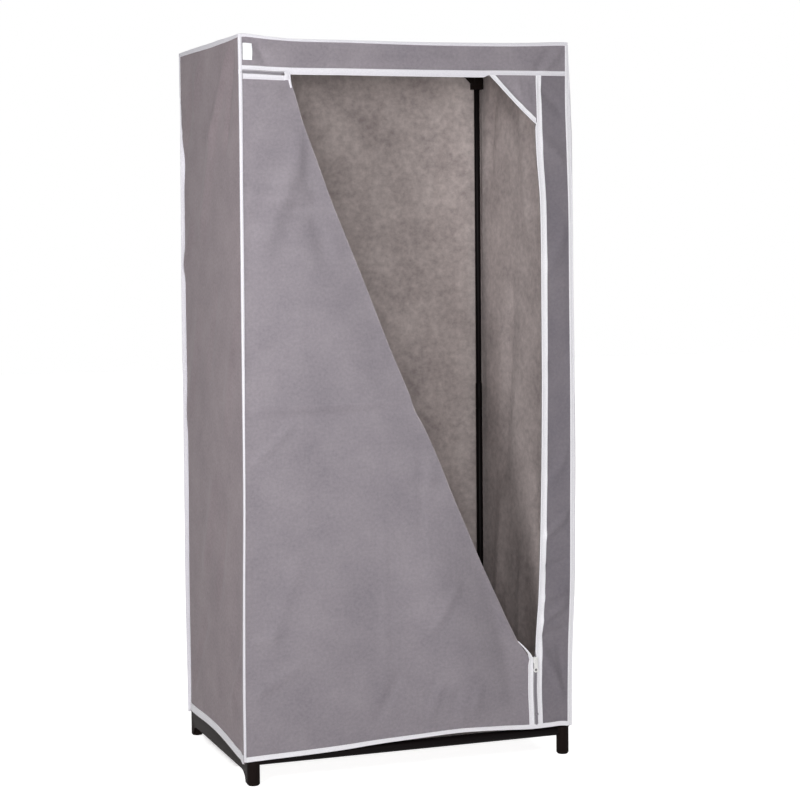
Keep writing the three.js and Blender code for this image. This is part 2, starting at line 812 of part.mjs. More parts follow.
function sliderPlateOutline() {
  const [halfX, halfZ] = [sliderWidth / 2, sliderHeight / 2];
  const shape = new THREE.Shape();
  shape.moveTo(-halfX + sliderRound, -halfZ);
  shape.lineTo(halfX - sliderRound, -halfZ);
  shape.absarc(halfX - sliderRound, -halfZ + sliderRound, sliderRound, -Math.PI / 2, 0, false);
  shape.lineTo(halfX, halfZ - sliderRound);
  shape.absarc(halfX - sliderRound, halfZ - sliderRound, sliderRound, 0, Math.PI / 2, false);
  shape.lineTo(-halfX + sliderRound, halfZ);
  shape.absarc(-halfX + sliderRound, halfZ - sliderRound, sliderRound, Math.PI / 2, Math.PI, false);
  shape.lineTo(-halfX, -halfZ + sliderRound);
  shape.absarc(-halfX + sliderRound, -halfZ + sliderRound, sliderRound, Math.PI, 1.5 * Math.PI, false);
  return shape;
}

function slider() {
  const wedgeTopZ = sliderHeight / 2;
  const wedge = rectangle(-wedgeThickness / 2, wedgeTopZ - wedgeHeight, wedgeThickness / 2, wedgeTopZ);
  const halfPlate = sliderPlate / 2;
  const loopOuter = rectangle(plateFrontY - loopReach, -loopHeight / 2, plateFrontY + halfPlate, loopHeight / 2);
  const eye = rectangle(plateFrontY - loopEyeReach, -loopEyeHeight / 2, plateFrontY, loopEyeHeight / 2);
  const loopSpan = [-loopWidth / 2, loopWidth / 2];
  const loop = cut(toSolid(slab(loopOuter, 'side', loopSpan)), [
    slab(eye, 'side', [loopSpan[0] - overrun, loopSpan[1] + overrun]),
  ]);
  const plates = join([
    slab(sliderPlateOutline(), 'front', [plateFrontY, plateBackY]),
    slab(sliderPlateOutline(), 'front', [backPlateY, backPlateY + sliderPlate]),
    slab(wedge, 'front', [plateBackY - halfPlate, backPlateY + halfPlate]),
  ]);
  return toGeometry(plates.add(loop));
}
add('zip_slider', slider(), 'slider', sliderGroup);

// Pull tab: a flat tongue that widens to a round end with a hole, hung by a bar in the loop
function pullTab() {
  const axisY = plateFrontY - loopEyeReach / 2;
  const halfNeck = pullNeckWidth / 2;
  const endZ = -pullLength + pullEndRadius;
  const shoulder = Math.asin(halfNeck / pullEndRadius);
  const shape = new THREE.Shape();
  shape.moveTo(halfNeck, pullBar / 2);
  shape.lineTo(-halfNeck, pullBar / 2);
  shape.lineTo(-halfNeck, endZ + Math.cos(shoulder) * pullEndRadius);
  shape.absarc(0, endZ, pullEndRadius, Math.PI / 2 + shoulder, 2.5 * Math.PI - shoulder, false);
  const hole = new THREE.Path();
  hole.absarc(0, endZ, pullHoleRadius, 0, 2 * Math.PI, true);
  const eye = rectangle(-pullEyeWidth / 2, -pullBar / 2 - pullEyeHeight, pullEyeWidth / 2, -pullBar / 2);
  const eyeHole = new THREE.Path(eye.reverse().map(([x, z]) => new THREE.Vector2(x, z)));
  return slab(shape, 'front', [axisY - pullPlate / 2, axisY + pullPlate / 2], [hole, eyeHole]);
}
add('zip_pull', pullTab(), 'slider', sliderGroup);

// Bottom stop across the zip, and the sewn end piece where the zip ends at the top left
const stopFootZ = aboveHem(zipX(zipFootZ)) + stopLift;
const stopHalf = tapeNear - gap;
const stopX = zipX(stopFootZ);
const stopOutline = rectangle(stopX - stopHalf, stopFootZ, stopX + stopHalf, stopFootZ + stopHeight);
add('zip_bottom_stop', slab(stopOutline, 'front', frontLayer), 'slider');
const endTopZ = valanceFootZ - gap;
const endOutline = rectangle(endPieceX, endTopZ - endPieceDrop, endPieceX + endPieceWidth, endTopZ);
add('zip_end_piece', slab(endOutline, 'front', frontLayer), 'binding');

export default wardrobe;
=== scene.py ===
# Portable fabric wardrobe: a sewn non-woven cover over a tube frame, with its zip door turned inwards.
# Cloth is laid out flat in millimetres (x from the left side, y back from the front, z up) and then hung.
import bpy
import math
import numpy as np
from mathutils import Matrix, Vector


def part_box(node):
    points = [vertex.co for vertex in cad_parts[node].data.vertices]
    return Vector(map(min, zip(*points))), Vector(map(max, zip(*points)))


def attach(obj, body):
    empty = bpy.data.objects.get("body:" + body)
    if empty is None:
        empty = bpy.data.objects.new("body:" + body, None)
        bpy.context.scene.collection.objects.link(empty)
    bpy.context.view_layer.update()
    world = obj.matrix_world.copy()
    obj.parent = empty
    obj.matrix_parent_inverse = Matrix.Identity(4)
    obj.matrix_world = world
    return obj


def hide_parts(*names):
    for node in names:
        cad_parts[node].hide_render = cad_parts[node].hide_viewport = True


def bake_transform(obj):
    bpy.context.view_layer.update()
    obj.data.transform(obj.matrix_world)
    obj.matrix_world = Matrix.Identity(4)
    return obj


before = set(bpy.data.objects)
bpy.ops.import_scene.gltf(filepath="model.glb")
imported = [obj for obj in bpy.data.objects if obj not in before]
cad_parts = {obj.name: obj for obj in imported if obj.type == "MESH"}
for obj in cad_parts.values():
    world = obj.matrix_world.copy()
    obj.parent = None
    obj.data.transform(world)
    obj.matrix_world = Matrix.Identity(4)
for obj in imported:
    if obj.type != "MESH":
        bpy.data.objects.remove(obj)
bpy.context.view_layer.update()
origin = np.array(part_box("cover_top")[0]) * (1, 1, 0)
width, depth = [1000 * (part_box("cover_top")[1][i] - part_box("cover_top")[0][i]) for i in (0, 1)]
topZ = 1000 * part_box("cover_top")[1][2]
valanceFoot = 1000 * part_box("valance")[0][2]
doorTop = 1000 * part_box("door_front")[1][2]
sideHem = 1000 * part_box("cover_left")[0][2]
print("frame loaded: cover", round(width), "x", round(depth), "x", round(topZ), "mm")

# Places on the flat door and its zip, as in the solids
door = {
    "hem": 52, "finX": -2, "tapeNear": 5, "tapeFar": 17,
    "zipFoot": (668.8, 70), "zipStart": 60, "zipCorner": (680, 1418), "zipTop": (570, 1518),
    "creaseFoot": (626, 258), "creaseHead": (110, 1500), "freeEdgeTop": (664.9, 206),
    "aboveSlider": 221, "cornerCreaseX": 45, "cornerTurnY": 4.8,
    "cell": 9, "clothThickness": 0.5,
}
creaseFootZ = door["creaseFoot"][1]
freeEdgeZ = door["freeEdgeTop"][1]
slantRun = np.array(door["zipTop"]) - np.array(door["zipCorner"])
slantLength = np.hypot(*slantRun)
seamInset = 0.6  # a sheet stops this far inside the corner it is sewn into
clothGap = 0.3  # and this far from the sheet it hangs under

# How far the hung cloth leaves the flat layout: each list pairs a height or a place with a shift
drape = {
    "hemLiftX": [0, 26, 120, 210, 302, 395, 489, 584, 656, 704, 743, 756],
    "hemLift": [2, 3, 5.4, 8.6, 14.6, 18.4, 21.6, 18.2, 14, 14.6, 15, 13],
    "hemFade": 460,
    "leftHemY": [0, 12, 26, 60, 91, 176, 263, 353, 447, 522],
    "leftHem": [-1.5, -4.5, -7, -5.9, -3.9, 3.8, 9.2, 10, 7.2, 7],
    "stripZ": [52, 89, 107, 140, 180, 242, 355, 580, 804, 1027, 1150, 1249, 1359, 1469, 1513, 1591],
    "stripX": [1.4, 0.4, -0.6, -2, -1.8, -2.2, 4.4, 10.2, 12, 10.3, 9, 6.4, -2.8, -7.2, -8.8, -7],
    "rightZ": [52, 123, 237, 350, 577, 802, 1026, 1249, 1360, 1470, 1514, 1558, 1591],
    "rightX": [-6.5, -5.7, -3.9, 0.5, 2.9, 4.1, 2.9, 1.6, -1.4, -4.5, -4.3, -4, -3.8],
    "leftZ": [52, 189, 403, 616, 829, 1040, 1250, 1458, 1542, 1591],
    "leftX": [-7.5, -7.3, -4.5, -0.8, 0, 0.6, 1.3, 2, 1.6, 1.2],
    "backLeftZ": [52, 75, 312, 553, 791, 1027, 1262, 1541, 1591],
    "backLeftX": [4, 4.5, 8, 8.5, 10.5, 10, 10.5, 8, 5],
    "creaseZ": [258, 310, 372, 440, 520, 600, 690, 752, 800, 832, 862, 920, 1060, 1160, 1250, 1330, 1418, 1487,
                1591],
    "creaseX": [0, -3.5, -5.5, -7.5, -8, -9.5, -9, -11.5, -17, -14.5, -15, -16, -14, -13.5, -13, -9, -5, 3.5, 6.5],
    "topFrontX": [0, 12, 24, 39, 75, 247, 475, 688, 736, 756],
    "topFront": [5.8, 7, 6.2, 4.6, 1, -1.3, -0.5, 4.5, 6.9, 7],
    "topLeftY": [0, 30, 80, 153, 216, 330, 440, 522], "topLeft": [5.8, 5.2, 4.7, 5.2, 5, 6.6, 8, 8], "topRight": 7,
    "valanceFootX": [0, 38, 69, 246, 475, 688, 756], "valanceFoot": [0.3, -0.3, -1.6, -1.8, -0.8, 1.2, 1.5],
}

# Soft folds: from, to (mm on that side), half width, and height towards the viewer
doorFolds = [
    (205, 1490, 60, 1180, 26, 3.0), (150, 1440, 190, 1150, 20, -2.0), (250, 1330, 330, 1060, 24, 1.6),
    (20, 1222, 240, 1230, 9, -2.4), (10, 1255, 180, 1262, 14, 2), (10, 808, 470, 816, 10, 2.0),
    (10, 786, 440, 796, 12, -1.4), (430, 440, 530, 90, 75, 5), (5, 1480, 90, 1484, 22, 2.2),
    (590, 330, 640, 100, 30, -2.4), (60, 620, 620, 632, 5, -0.5), (310, 120, 316, 520, 5, 0.5),
    (402, 480, 410, 980, 6, -0.6), (330, 930, 345, 1120, 9, 1.0), (5, 545, 70, 556, 6, -1.4),
    (5, 415, 60, 420, 6, -1.2), (5, 300, 70, 322, 8, 1.2), (5, 950, 60, 940, 7, 1.2),
    (420, 300, 480, 395, 9, 1.3), (30, 700, 110, 770, 8, 1.2), (20, 190, 120, 250, 12, 1.3),
    (300, 110, 340, 190, 9, -1.4), (420, 100, 440, 165, 8, 1.6), (470, 95, 480, 150, 7, -1.4),
    (520, 95, 530, 150, 8, 1.4), (60, 300, 120, 470, 14, 1.0), (430, 640, 480, 780, 14, 1.2),
]
stripFolds = [
    (690, 500, 752, 548, 9, 2.6), (690, 430, 750, 440, 8, -2.2), (686, 356, 752, 372, 8, 2.2),
    (686, 300, 752, 345, 9, 2.4), (686, 268, 748, 280, 7, -2.0), (690, 230, 745, 120, 10, 2.2),
    (730, 230, 752, 90, 7, -1.8), (700, 620, 750, 690, 12, 1.4), (700, 880, 752, 900, 16, -1.4),
    (704, 1100, 750, 1190, 16, 1.5), (700, 1380, 752, 1330, 14, 1.5), (690, 1500, 750, 1440, 11, -1.5),
]
valanceFolds = [
    (30, 1585, 60, 1540, 8, -2.2), (8, 1545, 60, 1580, 10, 1.6), (700, 1530, 752, 1582, 6, 2.6),
    (690, 1540, 730, 1586, 8, -2.0), (250, 1586, 215, 1540, 16, 1.3), (420, 1580, 480, 1545, 18, 1.0),
    (120, 1540, 420, 1548, 10, 0.9), (560, 1540, 640, 1570, 14, -1.0), (330, 1560, 360, 1590, 14, -0.8),
]
gussetFolds = [(640, 1520, 655, 1460, 8, 1.6), (600, 1512, 672, 1450, 7, -1.2), (664, 1500, 672, 1440, 6, 1.5)]
leftFolds = [
    (75, 1575, 225, 1400, 15, 3.0), (225, 1400, 330, 1190, 26, 2.4), (30, 1590, 110, 1380, 15, -2.0),
    (330, 1570, 390, 1470, 24, 2.2),
    (250, 620, 330, 430, 26, 2.2), (150, 560, 210, 380, 20, -1.6), (60, 980, 150, 760, 24, 1.4),
    (400, 1500, 500, 1330, 24, -1.8), (380, 980, 480, 760, 26, 1.6), (200, 1050, 280, 860, 20, -1.2),
    (20, 300, 120, 160, 14, 1.4), (330, 300, 460, 130, 18, -1.6), (430, 1200, 500, 1100, 18, 1.6),
]
backFolds = [
    (80, 1500, 200, 1250, 30, 4.0), (300, 1520, 330, 1200, 26, -4.0), (520, 1500, 450, 1230, 30, 4.0),
    (650, 1450, 600, 1150, 24, -3.5), (150, 1000, 260, 700, 40, -4.5), (420, 1050, 380, 600, 34, 4.5),
    (600, 900, 640, 520, 30, -4.0), (100, 500, 160, 200, 30, 4.0), (300, 450, 380, 120, 36, -4.0),
    (560, 420, 520, 150, 26, 3.5), (690, 700, 720, 300, 18, 3.0),
]
rightFolds = [
    (60, 1520, 110, 1250, 24, 3.0), (260, 1500, 230, 1180, 26, -3.5), (430, 1520, 470, 1300, 22, 3.5),
    (120, 1000, 80, 700, 28, -3.0), (330, 1050, 380, 640, 30, 4.0), (200, 620, 150, 300, 26, 4.0),
    (400, 520, 450, 200, 24, -3.5), (60, 420, 90, 150, 16, 2.5), (280, 400, 300, 150, 20, -3.0),
]


# Colour written as in a paint program, turned to Blender's linear values
def colour(hexCode):
    parts = [int(hexCode[i:i + 2], 16) / 255 for i in (1, 3, 5)]
    return tuple(c / 12.92 if c <= 0.04045 else ((c + 0.055) / 1.055) ** 2.4 for c in parts) + (1,)


# Adds one node, sets its inputs and properties, and links what it is given
def addNode(tree, kind, inputs=None, **settings):
    node = tree.nodes.new(kind)
    for key, value in settings.items():
        setattr(node, key, value)
    for key, value in (inputs or {}).items():
        if isinstance(value, bpy.types.NodeSocket):
            tree.links.new(value, node.inputs[key])
        else:
            node.inputs[key].default_value = value
    return node


def newMaterial(name, **shader):
    material = bpy.data.materials.new(name)
    material.use_nodes = True
    tree = material.node_tree
    surface = tree.nodes["Principled BSDF"]
    for key, value in shader.items():
        surface.inputs[key].default_value = value
    return material, tree, surface


def coordinates(tree, kind="Object", scale=1.0, turn=0.0):
    source = addNode(tree, "ShaderNodeTexCoord")
    mapping = addNode(tree, "ShaderNodeMapping",
                      {"Vector": source.outputs[kind], "Scale": (scale,) * 3, "Rotation": (0, 0, turn)})
    return mapping.outputs["Vector"]


# Non-woven polypropylene: a flat mid grey, point bonds in a close grid, faint clouding where fibres lie thicker.
# Bonds are about 1.2 mm apart on the real cloth and are drawn at 2.4 mm, so that they show.
cloth = {
    # side: the front cloth tinted warmer with darker clouding, painted light for the warmer light on the left side
    # strip: the front cloth made darker, painted shade where the light falls off towards the right-hand corner
    "front": ("#968f95", "#837d84"), "side": ("#95898d", "#7f7378"), "strip": ("#827c82", "#726d75"),
    # the right inner tone is the lining made darker, painted shade inside the right panel
    "inner": ("#d0c5c2", "#a09594"), "innerRight": ("#c8bcba", "#9c9190"),
    "bondSpacing": 0.0024, "cloudSize": 0.11, "roughness": 0.82,
}


def nonWoven(name, tones, bondDepth, grain):
    base, cloud = tones
    finish = {"Roughness": cloth["roughness"], "Specular IOR Level": 0.25, "Sheen Weight": 0.12,
              "Sheen Roughness": 0.5}
    material, tree, surface = newMaterial(name, **finish)
    flat = coordinates(tree, "UV")
    clouds = addNode(tree, "ShaderNodeTexNoise",
                     {"Vector": flat, "Scale": 1 / cloth["cloudSize"], "Detail": 5.0, "Roughness": 0.62})
    fibres = addNode(tree, "ShaderNodeTexNoise", {"Vector": flat, "Scale": grain, "Detail": 4.0, "Roughness": 0.7})
    mixed = {"Factor": 0.5, "A": clouds.outputs["Fac"], "B": fibres.outputs["Fac"]}
    blend = addNode(tree, "ShaderNodeMix", mixed, data_type="FLOAT")
    ramp = addNode(tree, "ShaderNodeValToRGB", {"Fac": blend.outputs["Result"]})
    ramp.color_ramp.elements[0].position, ramp.color_ramp.elements[0].color = 0.36, colour(cloud)
    ramp.color_ramp.elements[1].position, ramp.color_ramp.elements[1].color = 0.62, colour(base)
    tree.links.new(ramp.outputs["Color"], surface.inputs["Base Color"])
    bonds = addNode(tree, "ShaderNodeTexVoronoi",
                    {"Vector": flat, "Scale": 1 / cloth["bondSpacing"], "Randomness": 0.25})
    bondBump = addNode(tree, "ShaderNodeBump",
                       {"Height": bonds.outputs["Distance"], "Strength": bondDepth, "Distance": 0.0004})
    grainBump = addNode(tree, "ShaderNodeBump",
                        {"Height": fibres.outputs["Fac"], "Strength": 0.25, "Distance": 0.0006,
                         "Normal": bondBump.outputs["Normal"]})
    tree.links.new(grainBump.outputs["Normal"], surface.inputs["Normal"])
    return material


clothOuter = nonWoven("nonWovenPolypropylene", cloth["front"], 0.35, 140.0)
# The left side is the same cloth as the front, tinted warmer: painted light for the warmer light falling on that
# side.
clothSidePaintedWarmLight = nonWoven("nonWovenPolypropyleneSidePaintedWarmLight", cloth["side"], 0.35, 140.0)
clothLining = nonWoven("feltedInnerFace", cloth["inner"], 0.1, 60.0)
# The right panel's inner face is the same lining made darker: painted shade for the shadowed inside of that panel.
liningRightPaintedShade = nonWoven("feltedInnerFaceRightPaintedShade", cloth["innerRight"], 0.1, 60.0)
# The strip beside the opening is the same cloth made darker: painted shade for the light falling off towards the
# right-hand corner.
clothStripPaintedShade = nonWoven("nonWovenPolypropyleneStripPaintedShade", cloth["strip"], 0.35, 140.0)


# Binding: white non-woven tape, calendered smooth, with faint fibres. Its stitches are too fine to draw.
def bindingTape(name, shaded, base):
    material, tree, surface = newMaterial(name, Roughness=0.62)
    flat = coordinates(tree, "UV")
    ribs = addNode(tree, "ShaderNodeTexNoise", {"Vector": flat, "Scale": 420.0, "Detail": 3.0, "Roughness": 0.6})
    ramp = addNode(tree, "ShaderNodeValToRGB", {"Fac": ribs.outputs["Fac"]})
    ramp.color_ramp.elements[0].position, ramp.color_ramp.elements[0].color = 0.3, colour(shaded)
    ramp.color_ramp.elements[1].position, ramp.color_ramp.elements[1].color = 0.65, colour(base)
    tree.links.new(ramp.outputs["Color"], surface.inputs["Base Color"])
    bump = addNode(tree, "ShaderNodeBump", {"Height": ribs.outputs["Fac"], "Strength": 0.3, "Distance": 0.0004})
    tree.links.new(bump.outputs["Normal"], surface.inputs["Normal"])
    return material


tapeWhite = bindingTape("whiteBindingTape", "#d9d7de", "#e6e4ea")
# A brighter copy of the same white tape: painted light on the bands at the right and on the left hem, where less
# light falls.
tapeBrighterPaintedLight = bindingTape("bindingTapePaintedLight", "#e8e6ec", "#f5f4f8")


# Smooth moulded or coated surfaces with a little unevenness in their gloss
def smoothSurface(name, base, roughness, spread, grain, bumpDepth, **shader):
    material, tree, surface = newMaterial(name, **shader)
    surface.inputs["Base Color"].default_value = colour(base)
    place = coordinates(tree)
    noise = addNode(tree, "ShaderNodeTexNoise", {"Vector": place, "Scale": grain, "Detail": 3.0, "Roughness": 0.6})
    gloss = addNode(tree, "ShaderNodeMapRange",
                    {"Value": noise.outputs["Fac"], "To Min": roughness - spread, "To Max": roughness + spread})
    tree.links.new(gloss.outputs["Result"], surface.inputs["Roughness"])
    bump = addNode(tree, "ShaderNodeBump",
                   {"Height": noise.outputs["Fac"], "Strength": bumpDepth, "Distance": 0.0003})
    tree.links.new(bump.outputs["Normal"], surface.inputs["Normal"])
    return material


# Moulded polypropylene: near-black with a dull satin skin from a fine spark-eroded mould
mouldedBlack = smoothSurface("mouldedPolypropylene", "#1e1817", 0.5, 0.07, 900.0, 0.15,
                             **{"IOR": 1.45, "Specular IOR Level": 0.02})
# Powder-coated steel tube: near-black, smooth with a slight orange peel
coatedTube = smoothSurface("powderCoatedSteel", "#120e0f", 0.4, 0.05, 350.0, 0.12,
                           **{"IOR": 1.45, "Specular IOR Level": 0.05})
# Nylon coil of the zip: mid grey with a soft gloss
nylonCoil = smoothSurface("nylonZipCoil", "#827e85", 0.45, 0.05, 600.0, 0.1, IOR=1.53)
# Zip tape: woven polyester, dyed to the grey of the coil
zipTape = smoothSurface("wovenZipTape", "#a9a6ab", 0.75, 0.04, 1200.0, 0.4, IOR=1.5)
# Slider: zinc alloy under white enamel
whiteEnamel = smoothSurface("whiteEnamel", "#f1f0ef", 0.3, 0.04, 500.0, 0.05, IOR=1.5)
# Label: woven satin, left blank
labelSatin = smoothSurface("labelSatin", "#f3f5f8", 0.45, 0.05, 1500.0, 0.3, IOR=1.5)
print("materials made")


def clearSelection():
    bpy.ops.object.select_all(action="DESELECT")


def choose(piece):
    clearSelection()
    piece.select_set(True)
    bpy.context.view_layer.objects.active = piece


def readPoints(piece):
    points = np.empty(len(piece.data.vertices) * 3)
    piece.data.vertices.foreach_get("co", points)
    return points.reshape(-1, 3)


def writePoints(piece, points):
    piece.data.vertices.foreach_set("co", np.asarray(points, dtype=float).ravel())
    piece.data.update()


def toRow(points):
    return points * 0.001 + origin


def smoothStep(value):
    share = np.clip(value, 0, 1)
    return share * share * (3 - 2 * share)


# A smooth curve through the given pairs
def through(value, places, shifts):
    places, shifts = np.array(places, float), np.array(shifts, float)
    slopes = np.gradient(shifts, places)
    value = np.clip(value, places[0], places[-1])
    index = np.clip(np.searchsorted(places, value) - 1, 0, len(places) - 2)
    span = places[index + 1] - places[index]
    share = (value - places[index]) / span
    square, cube = share ** 2, share ** 3
    return ((2 * cube - 3 * square + 1) * shifts[index] + (cube - 2 * square + share) * span * slopes[index]
            + (3 * square - 2 * cube) * shifts[index + 1] + (cube - square) * span * slopes[index + 1])


# Height of a list of soft folds at places on a side, all raised by one gain
def foldHeight(x, z, folds, gain=1.7):
    total = np.zeros_like(x)
    for startX, startZ, endX, endZ, halfWidth, height in folds:
        along = np.array([endX - startX, endZ - startZ], float)
        length = np.hypot(*along)
        along /= length
        share = ((x - startX) * along[0] + (z - startZ) * along[1]) / length
        across = (x - startX) * along[1] - (z - startZ) * along[0]
        ends = smoothStep((share + 0.25) / 0.35) * smoothStep((1.25 - share) / 0.35)
        total += gain * height * ends * np.exp(-(across / halfWidth) ** 2)
    return total


# Slow unevenness of hanging cloth, the same on every run
def slowWaves(x, z, size, height, phase):
    return height * (np.sin(x / size + phase) * np.cos(z / (1.7 * size) + 1.3 * phase)
                     + 0.6 * np.sin(z / (1.1 * size) - x / (2.3 * size) + 2.1 * phase)
                     + 0.35 * np.sin(x / (0.45 * size) + z / (0.8 * size) + phase)) / 1.95


def edgeFade(value, low, high, reach):
    return smoothStep((value - low) / reach) * smoothStep((high - value) / reach)


def lineSide(point, start, end):
    along = np.array([end[0] - start[0], end[1] - start[1]], float)
    along /= np.hypot(*along)
    return (point[0] - start[0]) * along[1] - (point[1] - start[1]) * along[0]


def creaseLineX(z):
    (footX, footZ), (headX, headZ) = door["creaseFoot"], door["creaseHead"]
    return footX + (headX - footX) * (z - footZ) / (headZ - footZ)


def zipX(z):
    (footX, footZ), (cornerX, cornerZ) = door["zipFoot"], door["zipCorner"]
    return footX + (cornerX - footX) * (z - footZ) / (cornerZ - footZ)


near, far = door["tapeNear"], door["tapeFar"]


def zipPlace(z, offset):
    return (zipX(z) + offset, z)


def hemLift(x, z):
    lift = through(x, drape["hemLiftX"], drape["hemLift"])
    return lift * (1 - smoothStep((z - door["hem"]) / drape["hemFade"]))


# The cover stands up over the frame's corners and sags a little between them
def riseFront(x):
    return through(x, drape["topFrontX"], drape["topFront"])


def riseLeft(y):
    return through(y, drape["topLeftY"], drape["topLeft"])


def riseBack(x):
    return drape["topLeft"][-1] + (drape["topRight"] - drape["topLeft"][-1]) * np.clip(x / width, 0, 1)


def nearTop(z):
    return smoothStep((z - 1530) / 58)


def frontLift(x, z):
    foot = through(x, drape["valanceFootX"], drape["valanceFoot"])
    return foot * smoothStep((z - 1480) / 40) + (riseFront(x) - foot) * nearTop(z)


def seamLeft(z):
    return through(z, drape["leftZ"], drape["leftX"])


def seamRight(z):
    return through(z, drape["rightZ"], drape["rightX"])


def seamBackLeft(z):
    return through(z, drape["backLeftZ"], drape["backLeftX"])


# Part of a corner's shift that a side takes up at y. The stretch is short where a hub or foot of the frame stands
# close behind the cloth.
def turnedBack(y, z):
    reach = 30 - 16 * smoothStep((z - 1360) / 80) - 9 * smoothStep((z - 1478) / 28)
    return smoothStep((y - depth + reach) / reach)


def turnedFront(y, z, footReach):
    reach = 60 - (60 - footReach) * (1 - smoothStep((z - 90) / 60)) - 54 * smoothStep((z - 1440) / 60)
    return smoothStep((reach - y) / reach)


def stripShift(z):
    return through(z, drape["stripZ"], drape["stripX"])


# The strip's shift, taken up along the slanted leg of the zip
def slantShift(x, z):
    return stripShift(z) * smoothStep((x - 560) / 110)


def creaseShift(z):
    return through(z, drape["creaseZ"], drape["creaseX"])


# Shift at x from stops, each a place and the shift there
def across(x, z, stops):
    result = stops[0][1] + 0 * x
    for (nearX, nearShift), (farX, farShift) in zip(stops, stops[1:]):
        share = np.clip((x - nearX) / (farX - nearX), 0, 1)
        result = np.where(x > nearX, nearShift + share * (farShift - nearShift), result)
    return result


# Where the door's free edge runs at a height, from the hem to the top
def doorEdge(z):
    closedEdge = zipX(z) - door["tapeNear"]
    (footX, footZ), (freeX, freeZ) = door["creaseFoot"], door["freeEdgeTop"]
    freeEdge = footX + (footZ - z) * (freeX - footX) / (footZ - freeZ)
    return np.where(z > footZ, creaseLineX(z), np.where(z > freeZ, freeEdge, closedEdge))


# The front: places on it are across, up and outwards from the cloth
def hangDoorFront(flat):
    x, z, height = flat.T
    edgeX = doorEdge(z)
    belowCrease = stripShift(z) * smoothStep((creaseFootZ - z) / (creaseFootZ - freeEdgeZ))
    edgeShift = np.where(z > creaseFootZ, creaseShift(z), belowCrease)
    shiftX = across(x, z, [(0, seamLeft(z)), (edgeX, edgeShift)])
    outwards = foldHeight(x, z, doorFolds, 2.8) + slowWaves(x, z, 130, 1.8, 0.4)
    lowBillow = 9 * np.exp(-((z - 330) / 170) ** 2) * edgeFade(x, 0, 720, 170)
    highBillow = 7 * np.exp(-((z - 1000) / 330) ** 2) * edgeFade(x, 0, 600, 150)
    outwards += (lowBillow + highBillow) * smoothStep((edgeX - x) / 120)
    outwards *= smoothStep((x - 4) / 30) * smoothStep((1521 - z) / 60) * smoothStep((z - 40) / 90)
    outwards *= smoothStep((edgeX - x) / 40)
    outwards = np.maximum(outwards, -0.2) + height
    return np.column_stack([x + shiftX, -outwards, z + hemLift(x, z) + frontLift(x, z)])


def hangStrip(flat):
    x, z, height = flat.T
    shiftX = across(x, z, [(zipX(z), stripShift(z)), (width + 0 * z, seamRight(z))])
    outwards = foldHeight(x, z, stripFolds, 2.2) + slowWaves(x, z, 60, 1.2, 1.9)
    held = smoothStep((width - x - 5) / 14) * smoothStep((valanceFoot + 3 - z) / 40)
    outwards *= held * smoothStep((z - 50) / 50)
    outwards *= smoothStep((x - zipX(z)) / 25)
    return np.column_stack([x + shiftX, -outwards - height, z + hemLift(x, z) + frontLift(x, z)])


def hangFront(flat):
    onStrip = (flat[:, 0] > zipX(flat[:, 1]))[:, None]
    return np.where(onStrip, hangStrip(flat), hangDoorFront(flat))


def hangGusset(flat):
    x, z, height = flat.T
    outwards = foldHeight(x, z, gussetFolds) * smoothStep((valanceFoot - z) / 20) * smoothStep((682 - x) / 15)
    return np.column_stack([x + slantShift(x, z), -outwards - height, z + frontLift(x, z)])


def valanceShift(x, z):
    return across(x, z, [(0, seamLeft(z)), (700 + 0 * z, stripShift(z)), (width + 0 * z, seamRight(z))])


def hangValance(flat):
    x, z, height = flat.T
    outwards = foldHeight(x, z, valanceFolds, 2.2) + slowWaves(x, z, 110, 1.0, 2.7)
    outwards *= smoothStep((x - 5) / 20) * smoothStep((width - 5 - x) / 20) * smoothStep((topZ - 5 - z) / 20)
    outwards *= smoothStep((z - valanceFoot) / 16)
    outwards += 2.0 * np.exp(-((z - 1552) / 20) ** 2) * edgeFade(x, 0, width, 120)
    return np.column_stack([x + valanceShift(x, z), -outwards - height, z + frontLift(x, z)])


# Folds fade out where a sheet is sewn to the next one and towards its hem
def heldEdges(along, z, length):
    return edgeFade(along, 3, length - 3, 30) * smoothStep((topZ - 3 - z) / 50) * smoothStep((z - 30) / 60)


def hemRise(z):
    return 1 - smoothStep((z - sideHem) / 200)


# The sides, back and top, each laid out as seen from outside
def hangLeft(flat):
    u, z, height = flat.T
    y = depth - u
    outwards = foldHeight(y, z, leftFolds, 2.7) + slowWaves(y, z, 120, 2.2, 0.9)
    outwards += 3 * np.exp(-((z - 420) / 260) ** 2) * edgeFade(y, 0, depth, 180)
    outwards *= heldEdges(y, z, depth)
    lift = through(y, drape["leftHemY"], drape["leftHem"]) * hemRise(z) + riseLeft(y) * nearTop(z)
    shiftX = seamLeft(z) * turnedFront(y, z, 60) + seamBackLeft(z) * turnedBack(y, z)
    return np.column_stack([shiftX - outwards - height, y, z + lift])


def hangRight(flat):
    y, z, height = flat.T
    outwards = foldHeight(y, z, rightFolds) + slowWaves(y, z, 110, 2.2, 3.3)
    outwards *= heldEdges(y, z, depth)
    lift = (10 * smoothStep((120 - y) / 120) + 3 * np.sin(y / 90) * smoothStep(y / 60)) * hemRise(z)
    lift += drape["topRight"] * nearTop(z)
    return np.column_stack([width + seamRight(z) * turnedFront(y, z, 10) + outwards + height, y, z + lift])


def hangBack(flat):
    u, z, height = flat.T
    x = width - u
    outwards = foldHeight(x, z, backFolds) + slowWaves(x, z, 120, 2.4, 5.1)
    outwards *= heldEdges(x, z, width)
    lift = 3 * np.sin(x / 120) * edgeFade(x, 0, width, 60) * hemRise(z) + riseBack(x) * nearTop(z)
    return np.column_stack([x + seamBackLeft(z) * smoothStep((60 - x) / 60), depth + outwards + height, z + lift])


